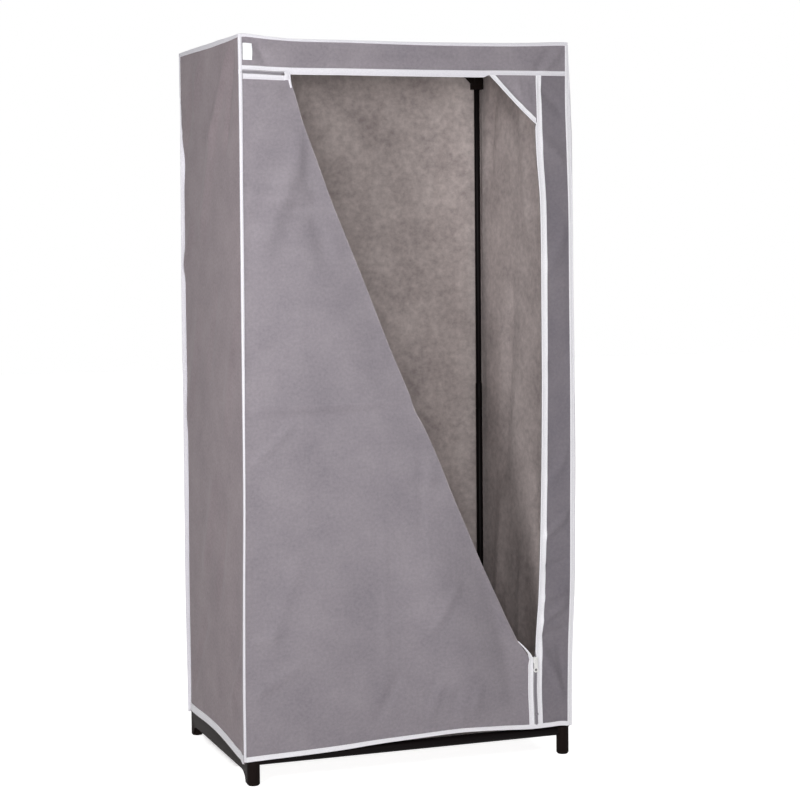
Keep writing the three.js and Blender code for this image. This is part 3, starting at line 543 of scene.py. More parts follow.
def hangTop(flat):
    x, y, height = flat.T
    halves = edgeFade(y, 20, depth / 2, 110) + edgeFade(y, depth / 2, depth - 20, 110)
    sag = 5 * edgeFade(x, 20, width - 20, 200) * halves
    level = topZ + 0 * x
    share, back = np.clip(x / width, 0, 1), np.clip(y / depth, 0, 1)
    leftEdge, rightEdge = riseFront(0 * x), riseFront(0 * x + width)
    frontCorners = (1 - share) * leftEdge + share * rightEdge
    backCorners = (1 - share) * riseBack(0 * x) + share * riseBack(0 * x + width)
    corners = (1 - back) * frontCorners + back * backCorners
    rise = (1 - back) * riseFront(x) + back * riseBack(x) + (1 - share) * riseLeft(y)
    rise = rise + share * drape["topRight"] - corners
    frontShift = valanceShift(x, level) * smoothStep((60 - y) / 60)
    backShift = seamBackLeft(level) * smoothStep((60 - x) / 60) * turnedBack(y, level)
    shiftX = frontShift + backShift
    return np.column_stack([x + shiftX, y, level + height - sag + rise])


# Leaf of the door: laid out closed, turned inwards about the crease, its far corner folded back
creaseStart, creaseEnd = np.array(door["creaseFoot"], float), np.array(door["creaseHead"], float)
creaseAlong = (creaseEnd - creaseStart) / np.linalg.norm(creaseEnd - creaseStart)
creaseRight = np.array([creaseAlong[1], -creaseAlong[0]])


def mirrorAcrossCrease(point):
    return point - 2 * ((point - creaseStart) @ creaseRight)[..., None] * creaseRight


def leafSlack(restX, restZ, away, toEdge):
    free = smoothStep(toEdge / 120) * smoothStep((away - 4) / 60) * smoothStep((restX - door["cornerCreaseX"]) / 60)
    return free * (3.2 + slowWaves(restX, restZ, 90, 3.0, 4.2))


def turnInwards(flat):
    x, z, height = flat.T
    laid = np.column_stack([x, z])
    away = (laid - creaseStart) @ creaseRight
    foot = laid - away[:, None] * creaseRight
    bulge = creaseShift(foot[:, 1]) * (1 - smoothStep(away / 260))
    rest = mirrorAcrossCrease(laid)
    restX = rest[:, 0] + bulge + 1.3 * np.sin(np.pi * np.clip(away / 7, 0, 1))
    toEdge = -lineSide((x, z), door["zipFoot"], door["zipCorner"])
    slack = leafSlack(rest[:, 0], rest[:, 1], away, toEdge)
    beyond = np.maximum(door["cornerCreaseX"] - restX, 0)
    nearCorner = 1 - smoothStep((restX - door["cornerCreaseX"]) / 14)
    restY = 2.3 * smoothStep(away / 6) + slack + (door["cornerTurnY"] - 2.3 - slack) * nearCorner + height
    cornerX = door["cornerCreaseX"] - 2.7 * smoothStep(beyond / 14) + height
    cornerX += 5 * smoothStep(beyond / 80) * np.sin(rest[:, 1] / 70) * smoothStep(toEdge / 60)
    turned = restX < door["cornerCreaseX"]
    lift = hemLift(rest[:, 0], rest[:, 1]) + frontLift(rest[:, 0], rest[:, 1])
    return np.column_stack([np.where(turned, cornerX, restX), np.where(turned, door["cornerTurnY"] + beyond, restY),
                            rest[:, 1] + lift])


print("drape set up")


# A flat grid of cloth, laid out in millimetres in the plane of its side
def flatGrid(name, lowU, lowV, highU, highV, cell):
    clearSelection()
    columns, rows = max(2, round((highU - lowU) / cell)), max(2, round((highV - lowV) / cell))
    bpy.ops.mesh.primitive_grid_add(x_subdivisions=columns, y_subdivisions=rows, size=2, location=(0, 0, 0))
    piece = bpy.context.object
    piece.name = name
    points = readPoints(piece)
    points[:, 0] = lowU + (points[:, 0] + 1) / 2 * (highU - lowU)
    points[:, 1] = lowV + (points[:, 1] + 1) / 2 * (highV - lowV)
    writePoints(piece, points)
    return piece


# Cuts the cloth along a line and drops what lies right of it, or only adds an edge there
def trimCloth(piece, start, end, drop=True):
    choose(piece)
    bpy.ops.object.mode_set(mode="EDIT")
    bpy.ops.mesh.select_all(action="SELECT")
    along = Vector((end[0] - start[0], end[1] - start[1], 0)).normalized()
    bpy.ops.mesh.bisect(plane_co=(start[0], start[1], 0), plane_no=(along.y, -along.x, 0), clear_outer=drop)
    bpy.ops.object.mode_set(mode="OBJECT")


def flatArea(piece):
    return sum(face.area for face in piece.data.polygons) * 1e-6


# Keeps the cloth's flat layout as its own UV map, in metres
def keepLayout(piece, points):
    layer = piece.data.uv_layers.new(name="flatLayout")
    corners = np.empty(len(piece.data.loops), dtype=int)
    piece.data.loops.foreach_get("vertex_index", corners)
    layer.data.foreach_set("uv", (points[corners, :2] * 0.001).ravel())
    for other in list(piece.data.uv_layers):
        if other.name != "flatLayout":
            piece.data.uv_layers.remove(other)


def dress(piece, materials):
    piece.data.materials.clear()
    for material in materials:
        piece.data.materials.append(material)


# Gives the placed sheet its thickness inwards from the outer face
def thicken(piece, materials, thickness, smoothAngle=60):
    dress(piece, materials)
    choose(piece)
    solid = piece.modifiers.new("thickness", "SOLIDIFY")
    solid.thickness = thickness * 0.001
    solid.offset = -1.0
    solid.use_even_offset = False
    solid.material_offset = len(materials) - 1
    solid.material_offset_rim = 0
    bpy.ops.object.modifier_apply(modifier=solid.name)
    bpy.ops.object.shade_smooth_by_angle(angle=math.radians(smoothAngle))
    return piece


def placeCloth(piece, place):
    flat = readPoints(piece)
    keepLayout(piece, flat)
    writePoints(piece, toRow(place(flat)))
    return piece


def joined(name, pieces, merge=0.02):
    clearSelection()
    for piece in pieces:
        piece.select_set(True)
    bpy.context.view_layer.objects.active = pieces[0]
    bpy.ops.object.join()
    piece = bpy.context.object
    piece.name = name
    bpy.ops.object.mode_set(mode="EDIT")
    bpy.ops.mesh.select_all(action="SELECT")
    bpy.ops.mesh.remove_doubles(threshold=merge * 0.001)
    bpy.ops.object.mode_set(mode="OBJECT")
    return piece


def belongs(piece, body, slot, *nodes):
    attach(piece, body)
    if nodes:
        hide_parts(*nodes)
    return piece


clothFaces = [clothOuter, clothLining]
freeEdge = (door["freeEdgeTop"], door["creaseFoot"])
zipSideLine = [zipPlace(z, -near) for z in (door["hem"], 1415.7)]
slantLine = [(675, 1415.7), (567.9, 1513)]
cornerFold = [tuple(mirrorAcrossCrease(np.array([door["cornerCreaseX"], z], float))) for z in (400, 1500)]

# Door cloth: the part that hangs flat and the leaf turned in behind it are one sheet
lowerDoor = flatGrid("lowerDoor", door["finX"], door["hem"], 676, creaseFootZ, door["cell"])
trimCloth(lowerDoor, *zipSideLine)
trimCloth(lowerDoor, *freeEdge)
upperDoor = flatGrid("upperDoor", door["finX"], creaseFootZ, 676, doorTop, door["cell"])
trimCloth(upperDoor, door["creaseFoot"], door["creaseHead"])
leafFoot = flatGrid("leafFoot", door["finX"], door["hem"], 676, creaseFootZ, door["cell"])
trimCloth(leafFoot, *reversed(freeEdge))
trimCloth(leafFoot, *zipSideLine)
trimCloth(leafFoot, (700, door["aboveSlider"]), (600, door["aboveSlider"]), drop=False)
trimCloth(leafFoot, (600, door["aboveSlider"]), (700, door["aboveSlider"]))
leaf = flatGrid("leaf", door["finX"], creaseFootZ, 676, doorTop, door["cell"])
trimCloth(leaf, door["creaseHead"], door["creaseFoot"])
trimCloth(leaf, *zipSideLine)
trimCloth(leaf, *slantLine)
for distance in (1.5, 3, 4.5, 6, 8, 12):
    trimCloth(leaf, tuple(creaseStart + creaseRight * distance), tuple(creaseEnd + creaseRight * distance),
              drop=False)
doorCorner = leaf.copy()
doorCorner.data = leaf.data.copy()
bpy.context.collection.objects.link(doorCorner)
doorCorner.name = "doorCorner"
trimCloth(leaf, *cornerFold)
trimCloth(doorCorner, *reversed(cornerFold))
doorParts = [lowerDoor, upperDoor, leafFoot, leaf]
for piece, place in zip(doorParts, (hangDoorFront, hangDoorFront, turnInwards, turnInwards)):
    placeCloth(piece, place)
doorCloth = thicken(joined("doorCloth", doorParts, merge=0.05), clothFaces, door["clothThickness"])
cornerSpan = np.ptp(readPoints(doorCorner), axis=0)[:2]
thicken(placeCloth(doorCorner, turnInwards), clothFaces, door["clothThickness"])

# The other sheets of the cover
panels = {
    "leftCloth": (seamInset, sideHem, depth - seamInset, topZ - seamInset, 10, hangLeft, "cover_left"),
    "rightCloth": (seamInset, sideHem, depth - seamInset, topZ - seamInset, 10, hangRight, "cover_right"),
    "backCloth": (seamInset, sideHem, width - seamInset, topZ - seamInset, 11, hangBack, "cover_back"),
    "topCloth": (0, 0, width, depth, 12, hangTop, "cover_top"),
    "valanceCloth": (door["finX"], valanceFoot, width - door["finX"], topZ - seamInset, 7, hangValance, "valance"),
    "stripCloth": (670, door["hem"], width - door["finX"], valanceFoot - clothGap, 6, hangStrip, "side_strip"),
    "gussetCloth": (568, 1418, 686, valanceFoot - clothGap, 6, hangGusset, "corner_gusset"),
}
made, areas = {}, {}
for name, (lowU, lowV, highU, highV, cell, place, node) in panels.items():
    piece = flatGrid(name, lowU, lowV, highU, highV, cell)
    if name == "stripCloth":
        trimCloth(piece, zipPlace(1600, near), zipPlace(0, near))
    if name == "gussetCloth":
        trimCloth(piece, (572.3, 1522.7), (684.7, 1420.5))
        trimCloth(piece, zipPlace(1400, near), zipPlace(1522, near))
    if name in ("leftCloth", "rightCloth"):
        for u in (2, 3.5, 5, 7.5, depth - 7.5, depth - 5, depth - 3.5, depth - 2):
            trimCloth(piece, (u, 0), (u, 100), drop=False)
    areas[name] = flatArea(piece)
    faces = {"stripCloth": [clothStripPaintedShade, clothLining], "leftCloth": [clothSidePaintedWarmLight, clothLining],
             "rightCloth": [clothOuter, liningRightPaintedShade]}.get(name, clothFaces)
    made[name] = belongs(thicken(placeCloth(piece, place), faces, door["clothThickness"]), "wardrobe", "cloth",
                         node)
    print(name, "placed", round(areas[name], 3), "m2")


# A ribbon of tape between two edges, raised over the cloth. Its section gives share across, height and extra reach.
def ribbon(name, left, right, section, place, materials, thickness=0.4, step=8, mitre=False):
    left, right = np.array(left, float), np.array(right, float)
    middle = (left + right) / 2
    lengths = np.r_[0, np.cumsum(np.linalg.norm(np.diff(middle, axis=0), axis=1))]
    counts = [max(2, int(round((b - a) / step)) + 1) for a, b in zip(lengths, lengths[1:])]
    spans = [np.linspace(a, b, count) for a, b, count in zip(lengths, lengths[1:], counts)]
    stations = np.unique(np.round(np.concatenate(spans), 6))
    piece = flatGrid(name, 0, 0, len(section) - 1, len(stations) - 1, 1)
    points = readPoints(piece)
    column, row = np.rint(points[:, 0]).astype(int), np.rint(points[:, 1]).astype(int)
    along = stations[row]
    leftAt = np.column_stack([np.interp(along, lengths, left[:, i]) for i in (0, 1)])
    rightAt = np.column_stack([np.interp(along, lengths, right[:, i]) for i in (0, 1)])
    profile = np.array([(*point, 0)[:3] for point in section], float)
    share, height, extra = profile[column].T
    reach = np.linalg.norm(rightAt - leftAt, axis=1)
    spot = leftAt + (share + extra / reach)[:, None] * (rightAt - leftAt)
    if mitre:
        spot[:, 0] += height * (np.where(row == row.max(), 1, 0) - np.where(row == 0, 1, 0))
    bandWidth = np.linalg.norm(right[0] - left[0]) + np.linalg.norm(right[-1] - left[-1])
    steps = np.diff(profile, axis=0)
    developed = np.r_[0, np.cumsum(np.hypot(steps[:, 0] * bandWidth / 2 + steps[:, 2], steps[:, 1]))]
    keepLayout(piece, np.column_stack([along, developed[column], 0 * along]))
    writePoints(piece, toRow(place(np.column_stack([spot, height]))))
    return thicken(piece, materials, thickness, smoothAngle=50)


# Folded tape seen flat: its two turned edges stand a little higher than its middle
foldedTape = [(0, 0.25), (0.01, 1.2), (0.07, 1.65), (0.17, 1.6), (0.24, 1.2), (0.4, 1.05), (0.6, 1.05), (0.76, 1.2),
              (0.83, 1.6), (0.93, 1.65), (0.99, 1.2), (1, 0.25)]
plainTape = [(0, 0.2), (0.03, 1.1), (0.12, 1.4), (0.5, 1.3), (0.88, 1.4), (0.97, 1.1), (1, 0.2)]
tapeFaces = [tapeWhite]
# Bands that get the brighter tape copy, painted light
paintedLightPieces = ["stripBand", "doorBand", "slantBand", "seamFrontRight", "hemFront", "hemLeft"]


def band(name, left, right, place, body, *nodes, section=foldedTape):
    return belongs(ribbon(name, left, right, section, place, [tapeBrighterPaintedLight] if name in paintedLightPieces else tapeFaces),
                   body, "binding", *nodes)


def uprights(heights, offset):
    return [zipPlace(z, offset) for z in heights]


slantAlong = slantRun / slantLength
slantRight = np.array([slantAlong[1], -slantAlong[0]])


def slantPlace(distance, offset):
    return tuple(np.array(door["zipCorner"]) + slantAlong * distance + slantRight * offset)


# Bands on the front: under the valance, beside the opening, over the slanted leg, on the zip's closed ends
higherTape = [(share, height + 0.55) for share, height in foldedTape]
band("valanceBand", [(5, valanceFoot + 9), (108, valanceFoot + 9), (114, valanceFoot + 8.8),
                     (560, valanceFoot + 9.2), (572, valanceFoot + 9.6), (width - 3.8, valanceFoot + 10)],
     [(5, valanceFoot), (108, valanceFoot), (114, valanceFoot - 5.8), (560, valanceFoot - 6),
      (572, valanceFoot - 0.6), (width - 3.8, valanceFoot - 0.6)],
     hangValance, "wardrobe", "valance_binding", section=higherTape)
heights = [door["zipStart"], 205, 232, 1410, 1424, valanceFoot + 1]
band("stripBand", [zipPlace(z, offset) for z, offset in zip(heights, (5, 5, 0.8, 0.8, 5, 5))],
     uprights(heights, far), hangStrip, "wardrobe", "strip_binding")
band("slantBand", [slantPlace(-3, 0.8), slantPlace(8, 0.6), slantPlace(146, 0.6), slantPlace(156, 1)],
     [slantPlace(6, 11), slantPlace(12, 11), slantPlace(142, 11), slantPlace(150, 11)],
     hangGusset, "wardrobe", "gusset_binding", section=[(share, height + 0.3) for share, height in foldedTape])
band("doorBand", uprights([door["zipStart"], 185], -far)
     + [(653, 200), (655.5, 214), (651, 228), (641, 241), (625, 257.5)],
     uprights([door["zipStart"], 185], -near)
     + [(664.6, 203), (664.6, 217), (657, 229), (644.5, 242.5), (627, 259)], hangDoorFront, "wardrobe", "door_tape")
band("doorBandTop", [(7, 1514.8), (97, 1514.8)], [(7, 1503.4), (97, 1503.4)], hangDoorFront, "wardrobe",
     "door_tape_top")
band("creaseHeadEdge", [(109, 1487), (104, 1504), (101.5, 1520)], [(113, 1487), (109, 1507), (108, 1520)],
     hangDoorFront, "wardrobe", section=plainTape)

# Seam bindings at the four upright corners. At the front left the fin lies folded back along the side, and
# elsewhere it stands out. Each list pairs a height with the tape's width from the corner.
seams = {
    "laidBack": [(0, -4.5, -0.4), (0, -4.9, -1), (0, -3.6, -1.5), (0, -1.8, -1.6), (0, -0.2, -1.5), (0, 0.9, -1.1),
                 (0, 1.6, -0.1), (0.4, 1.75), (0.93, 1.75), (1, 1.4), (1.005, 0.2)],
    "standing": [(0, 0.2, -3.6), (0, 1.4, -3.4), (0, 1.85, -1.6), (0, 1.5, 0.3), (0.25, 0.9), (0.55, 0.6),
                 (0.9, 0.7), (1, -0.3), (0.98, -1.9), (0.6, -2.6), (0.15, -2.8), (0, -2.9, 0.5)],
    "frontLeft": ([52, 829, 1000, 1354, 1440, 1591], [3.6, 3.7, 5.4, 5.6, 6, 5.8]),
    "frontRight": ([52, 123, 350, 577, 802, 1026, 1249, 1470, 1514, 1558, 1591],
                   [8, 8, 9, 10.2, 9, 7.7, 7.7, 10, 7.7, 5.2, 3.4]),
    "backLap": [8] * 13 + [9, 10, 12, 13, 13],
    "backLeft": ([52, 75, 312, 553, 791, 1262, 1497, 1541, 1591], [6.5, 7, 13, 12.5, 13.5, 11.5, 9, 7, 5]),
}
seamHeights = [sideHem, 130, 200, 300, 400, 500, 600, 700, 800, 900, 1000, 1100, 1200, 1300, 1400, 1480, 1540,
               topZ - 5]


def seamEdge(u, key, sign):
    return [(u + sign * float(through(np.array([z]), *seams[key])[0]), z) for z in seamHeights]


def upright(u):
    return [(u, z) for z in seamHeights]


standingMirrored = [(1 - point[0], point[1], -(*point, 0)[2]) for point in reversed(seams["standing"])]
band("seamFrontLeft", upright(0), seamEdge(0, "frontLeft", 1), hangFront, "wardrobe", "seam_binding_front_left",
     section=seams["laidBack"])
band("seamFrontRight", upright(width), seamEdge(width, "frontRight", 1), hangFront, "wardrobe",
     "seam_binding_front_right", section=seams["standing"])
band("seamBackLeft", upright(width), seamEdge(width, "backLeft", 1), hangBack, "wardrobe", "seam_binding_back_left",
     section=seams["standing"])
band("seamBackLeftLap", upright(0.3), list(zip(seams["backLap"], seamHeights)), hangLeft, "wardrobe",
     section=plainTape)
band("seamBackRight", seamEdge(0, "frontRight", -1), upright(0), hangBack, "wardrobe", "seam_binding_back_right",
     section=standingMirrored)

# Top binding, folded over the edge all round, and the hems, folded under
overTop = [(0.37, -2.6), (0.1, -2.5), (0.01, -1.4), (0, 0.5), (0.06, 1.6), (0.3, 1.95), (0.6, 1.8), (0.93, 1.95),
           (1, 1.5), (1.005, 0.3)]
underHem = [(0, 0.25), (0.01, 1.3), (0.1, 1.7), (0.22, 1.45), (0.75, 1.5), (0.93, 1.65), (1, 0.9), (1.01, -0.5),
            (0.93, -1.6), (0.3, -1.7), (0.05, -1.4)]
topRuns = []
# Each edge: its side, its length, and how far up and down the tape reaches at places along it
topEdges = {
    "topFront": (hangValance, width,
                 [(0, 0.3, -6.6), (0.05, 0.3, -6.2), (0.12, 0.3, -5), (0.35, 0.3, -5.2), (0.66, 0.3, -6.8),
                  (1, 0.3, -7.4)]),
    "topRight": (hangRight, depth, [(0, 0.3, -7.4), (0.5, 0.3, -5), (1, 0.3, -5)]),
    "topBack": (hangBack, width, [(0, 0.3, -5), (0.33, 3, -5), (0.67, 3, -5), (1, 3, -6)]),
    "topLeft": (hangLeft, depth, [(0, 3, -6), (0.33, 3, -7), (0.67, 3, -7.6), (1, 0.3, -6.6)]),
}
for name, (place, long, reaches) in topEdges.items():
    upper, lower = [[(share * long, topZ + reach[side]) for share, *reach in reaches] for side in (0, 1)]
    topRuns.append(ribbon(name, upper, lower, overTop, place, tapeFaces, mitre=True))
belongs(joined("topBinding", topRuns, merge=0.001), "wardrobe", "binding", "top_binding")
hemTops = [(3.4, 63), (200, 63), (340, 61.5), (556, 61.3), (629, 62.4), (width - 3.8, 62.4)]
band("hemFront", hemTops, [(x, 52) for x, _ in hemTops], hangFront, "wardrobe", "hem_front", section=underHem)
for name, long, tall, place, node in (("hemRight", depth, 12, hangRight, "hem_right"),
                                      ("hemBack", width, 12, hangBack, "hem_back"),
                                      ("hemLeft", depth, 18.8, hangLeft, "hem_left")):
    band(name, [(3, sideHem + tall), (long - 3, sideHem + tall)], [(3, sideHem), (long - 3, sideHem)], place,
         "wardrobe", node, section=underHem)
print("bindings sewn on")


# A route for the zip, with places on it given by length, offset to the right and height
def routeFrame(knots):
    knots = [np.array(knot, float) for knot in knots]
    directions = [(b - a) / np.linalg.norm(b - a) for a, b in zip(knots, knots[1:])]
    normals = [np.array([d[1], -d[0]]) for d in directions]
    spots, laterals = [knots[0]], [normals[0]]
    for knot, before, after, normalBefore, normalAfter in zip(knots[1:], directions, directions[1:], normals,
                                                              normals[1:]):
        spots += [knot - 8 * before, knot, knot + 8 * after]
        laterals += [normalBefore, (normalBefore + normalAfter) / (1 + normalBefore @ normalAfter), normalAfter]
    spots, laterals = np.array(spots + [knots[-1]]), np.array(laterals + [normals[-1]])
    lengths = np.r_[0, np.cumsum(np.linalg.norm(np.diff(spots, axis=0), axis=1))]

    def locate(along, offset):
        spot = np.column_stack([np.interp(along, lengths, spots[:, i]) for i in (0, 1)])
        lateral = np.column_stack([np.interp(along, lengths, laterals[:, i]) for i in (0, 1)])
        return spot + np.asarray(offset)[..., None] * lateral
    return locate, lengths[-1]


zipRoute = [(zipX(door["zipStart"]), door["zipStart"]), door["zipCorner"], door["zipTop"],
            (door["finX"] + 3, door["zipTop"][1])]
locateZip, zipLength = routeFrame(zipRoute)
sideRise = door["zipCorner"][1] - door["zipStart"]
sideLength = np.hypot(zipX(door["zipCorner"][1]) - zipX(door["zipStart"]), sideRise)
slantEnd = sideLength + slantLength


def zipAt(z=None, x=None):
    return (z - door["zipStart"]) * sideLength / sideRise if z is not None else slantEnd + door["zipTop"][0] - x


def hangZip(flat):
    x, z, height = flat.T
    return np.column_stack([x + slantShift(x, z), -height, z + hemLift(x, z) + frontLift(x, z)])


# The open half on the cover's side rolls inwards from its stitching
def coverHalf(along, offset, height):
    spot = locateZip(along, 0 * along)
    opened = smoothStep((spot[:, 1] - 214) / 26) * smoothStep((spot[:, 0] - 92) / 18)
    stitching = 4.2
    angle = math.radians(82) * opened * (offset < stitching)
    reach = offset - stitching
    rolled = stitching + reach * np.cos(angle) - height * np.sin(angle)
    lifted = reach * np.sin(angle) + height * np.cos(angle)
    return hangZip(np.column_stack([locateZip(along, rolled), lifted]))


def doorHalf(along, offset, height):
    return hangZip(np.column_stack([locateZip(along, -offset), height]))


def leafHalf(along, offset, height):
    return turnInwards(np.column_stack([locateZip(along, -offset), height]))


# One wrap of the coil, repeated along a stretch of the zip
coil = {"pitch": 2.2, "radius": 0.8, "inner": -0.6, "outer": 2.7, "height": 1.0}


def coilRun(name, start, end, place, shift=0.0):
    clearSelection()
    bpy.ops.mesh.primitive_cylinder_add(vertices=8, radius=coil["radius"], depth=coil["outer"] - coil["inner"],
                                        end_fill_type="TRIFAN")
    piece = bpy.context.object
    piece.name = name
    points = readPoints(piece)
    turned = np.column_stack([points[:, 2] + (coil["outer"] + coil["inner"]) / 2,
                              points[:, 1] + start + coil["radius"] + shift, points[:, 0] + coil["height"]])
    writePoints(piece, turned)
    copies = piece.modifiers.new("coil", "ARRAY")
    copies.use_relative_offset = False
    copies.use_constant_offset = True
    copies.constant_offset_displace = (0, coil["pitch"], 0)
    copies.count = int((end - start - 2 * coil["radius"] - shift) / coil["pitch"])
    bpy.ops.object.modifier_apply(modifier=copies.name)
    points = readPoints(piece)
    writePoints(piece, toRow(place(points[:, 1], points[:, 0], points[:, 2])))
    dress(piece, [nylonCoil])
    choose(piece)
    bpy.ops.object.mode_set(mode="EDIT")
    bpy.ops.mesh.select_all(action="SELECT")
    bpy.ops.mesh.normals_make_consistent(inside=False)
    bpy.ops.object.mode_set(mode="OBJECT")
    bpy.ops.object.shade_smooth_by_angle(angle=math.radians(50))
    return piece


tapeSection = [(0.35, 0.15), (0.6, 0.5), (1.5, 0.55), (3.2, 0.5), (4.6, 0.45), (5.6, 0.35)]


def zipTapeRun(name, start, end, place, flipped, step=6):
    rows = max(2, round((end - start) / step))
    piece = flatGrid(name, 0, 0, len(tapeSection) - 1, rows, 1)
    points = readPoints(piece)
    column, along = np.rint(points[:, 0]).astype(int), start + points[:, 1] / rows * (end - start)
    if flipped:
        column = len(tapeSection) - 1 - column
    offset, height = np.array(tapeSection)[column].T
    keepLayout(piece, np.column_stack([offset, along, 0 * along]))
    writePoints(piece, toRow(place(along, offset, height)))
    return thicken(piece, [zipTape], 0.3)


def zipRun(name, start, end, place, body, node, shift=0.0, flipped=False):
    tape = zipTapeRun(name + "Tape", start, end, place, flipped)
    wraps = coilRun(name + "Coil", start, end, place, shift)
    belongs(tape, body, "zip", node)
    belongs(wraps, body, "zip", node)


zipRun("coverZip", 0, zipLength, coverHalf, "wardrobe", "zip_half_cover")
zipRun("doorZip", 0, zipAt(z=206), doorHalf, "wardrobe", "zip_half_door", shift=coil["pitch"] / 2, flipped=True)
zipRun("doorZipTop", zipAt(x=94), zipLength, doorHalf, "wardrobe", "zip_half_door_top", shift=coil["pitch"] / 2,
       flipped=True)


# Length along the zip where its turned-in half crosses the far fold, between two lengths
def foldHits(start, end):
    along = np.linspace(start, end, 4000)
    rest = mirrorAcrossCrease(locateZip(along, 0 * along - near))
    inside = rest[:, 0] > door["cornerCreaseX"]
    return along[np.argmax(inside != inside[0])]


sideFold = foldHits(zipAt(z=222), sideLength)
topFold = foldHits(slantEnd + 10, zipAt(x=108))
leafRuns = {"leafSide": (zipAt(z=222), sideFold - 1, "door_flap"),
            "leafCorner": (sideFold + 1, topFold - 1, "door_corner"),
            "leafTop": (topFold + 1, zipAt(x=108), "door_flap")}
leafBandNodes = {"leafSide": "flap_tape_side", "leafCorner": "flap_corner_tape", "leafTop": "flap_tape_top"}
leafNodes = {"leafSide": "door_flap", "leafCorner": "door_flap_corner", "leafTop": "door_flap"}
for name, (start, end, body) in leafRuns.items():
    zipRun(name + "Zip", start, end, leafHalf, body, leafNodes[name], flipped=True)
    stops = np.unique(np.r_[start, [s for s in (sideLength, slantEnd) if start < s < end], end])
    band(name + "Band", [tuple(locateZip(np.array([s]), np.array([-far]))[0]) for s in stops],
         [tuple(locateZip(np.array([s]), np.array([-near]))[0]) for s in stops],
         turnInwards, body, leafBandNodes[name])
print("zip laid in")


# Copies of the solids, merged, with their edges rounded, in place of the faceted ones
def rounded(name, node, material, slot, body, bevel, angle=35, segments=2, hung=None):
    source = bpy.data.objects[node]
    piece = source.copy()
    piece.data = source.data.copy()
    piece.name = name
    place = source.matrix_world.copy()
    for key in [key for key in piece.keys() if key.startswith("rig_")]:
        del piece[key]
    piece.parent = None
    bpy.context.collection.objects.link(piece)
    if hung:
        place = Matrix.Translation(hung) @ place
    piece.data.transform(place)
    piece.matrix_world = Matrix.Identity(4)
    piece.hide_render = False
    piece.hide_set(False)
    piece.hide_viewport = False
    choose(piece)
    bpy.ops.object.mode_set(mode="EDIT")
    bpy.ops.mesh.select_all(action="SELECT")
    bpy.ops.mesh.remove_doubles(threshold=1e-6)
    bpy.ops.mesh.dissolve_limited(angle_limit=math.radians(1))
    bpy.ops.mesh.normals_make_consistent(inside=False)
    bpy.ops.object.mode_set(mode="OBJECT")
    if bevel:
        edges = piece.modifiers.new("edges", "BEVEL")
        edges.width = bevel * 0.001
        edges.segments = segments
        edges.limit_method = "ANGLE"
        edges.angle_limit = math.radians(angle)
        edges.use_clamp_overlap = True
        bpy.ops.object.modifier_apply(modifier=edges.name)
    bpy.ops.object.shade_smooth_by_angle(angle=math.radians(angle))
    dress(piece, [material])
    return belongs(piece, body, slot, node)


mouldings = {
    "baseSideLeft": "base_side_left", "baseSideRight": "base_side_right", "holderLeft": "rail_holder_left",
    "holderRight": "rail_holder_right",
    "cornerFrontLeft": "top_corner_front_left", "cornerFrontRight": "top_corner_front_right",
    "cornerBackLeft": "top_corner_back_left", "cornerBackRight": "top_corner_back_right",
}
for name, node in mouldings.items():
    rounded(name, node, mouldedBlack, "moulding", "wardrobe", 0.8)
tubes = ["base_rail_front", "base_rail_back", "top_rail_front", "top_rail_back", "top_rail_left", "top_rail_right",
         "hanging_rail"]
postCorners = ("front_left", "front_right", "back_left", "back_right")
tubes += ["post_" + level + "_" + corner for level in ("lower", "upper") for corner in postCorners]
for node in tubes:
    words = node.split("_")
    rounded(words[0] + "".join(word.capitalize() for word in words[1:]), node, coatedTube, "tube", "wardrobe", 0.4)


# The zip's fittings go along with the hung cloth: where its flat place is carried to
def carried(x, z):
    hungAt = hangZip(np.array([[x, z, 0.0]]))[0]
    return Vector(((hungAt[0] - x) * 0.001, 0, (hungAt[2] - z) * 0.001))


sliderShift = carried(zipX(208), 208)
rounded("zipSlider", "zip_slider", whiteEnamel, "slider", "zip_slider", 0.25, hung=sliderShift)
rounded("zipPull", "zip_pull", whiteEnamel, "slider", "zip_pull", 0.3, hung=sliderShift)
rounded("zipBottomStop", "zip_bottom_stop", nylonCoil, "slider", "wardrobe", 0.3, hung=carried(zipX(74), 74))
rounded("zipEndPiece", "zip_end_piece", tapeWhite, "binding", "wardrobe", 0.3,
        hung=carried(97, 1518) + Vector((0.008, 0, 0)))
belongs(ribbon("blankLabel", [(8, 1542.5), (8, 1573)], [(28, 1542.5), (28, 1573)],
               [(0, 1.5), (0.3, 1.1), (0.6, 0.9), (0.85, 1.1), (1, 1.7)], hangValance, [labelSatin], thickness=0.3,
               step=4),
        "wardrobe", "label", "label")
print("frame and zip fittings rounded")

belongs(doorCorner, "door_corner", "cloth", "door_flap_corner")
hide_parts("door_front", "door_flap")
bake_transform(doorCloth)


# Camera as solved from the photo, and a plain studio
def lookFrom(place, yaw, pitch, roll):
    forward = Vector((math.sin(yaw) * math.cos(pitch), math.cos(yaw) * math.cos(pitch), math.sin(pitch)))
    right = Vector((math.cos(yaw), -math.sin(yaw), 0))
    up = right.cross(forward)
    tilted = math.cos(roll) * right + math.sin(roll) * up
    raised = math.cos(roll) * up - math.sin(roll) * right
    matrix = Matrix((tilted, raised, -forward)).transposed().to_4x4()
    matrix.translation = Vector(place)
    return matrix


shot = {"place": (-1.515, -4.420, 1.157), "yaw": 20.31, "pitch": -3.31, "roll": -0.52, "lens": 91.85,
        "shiftX": -0.02725, "shiftY": -0.0486}
cameraData = bpy.data.cameras.new("photoCamera")
camera = bpy.data.objects.new("photoCamera", cameraData)
bpy.context.collection.objects.link(camera)
camera.matrix_world = lookFrom(shot["place"], *[math.radians(shot[key]) for key in ("yaw", "pitch", "roll")])
cameraData.lens, cameraData.sensor_width = shot["lens"], 36
cameraData.shift_x, cameraData.shift_y = shot["shiftX"], shot["shiftY"]
cameraData.clip_end = 60
bpy.context.scene.camera = camera


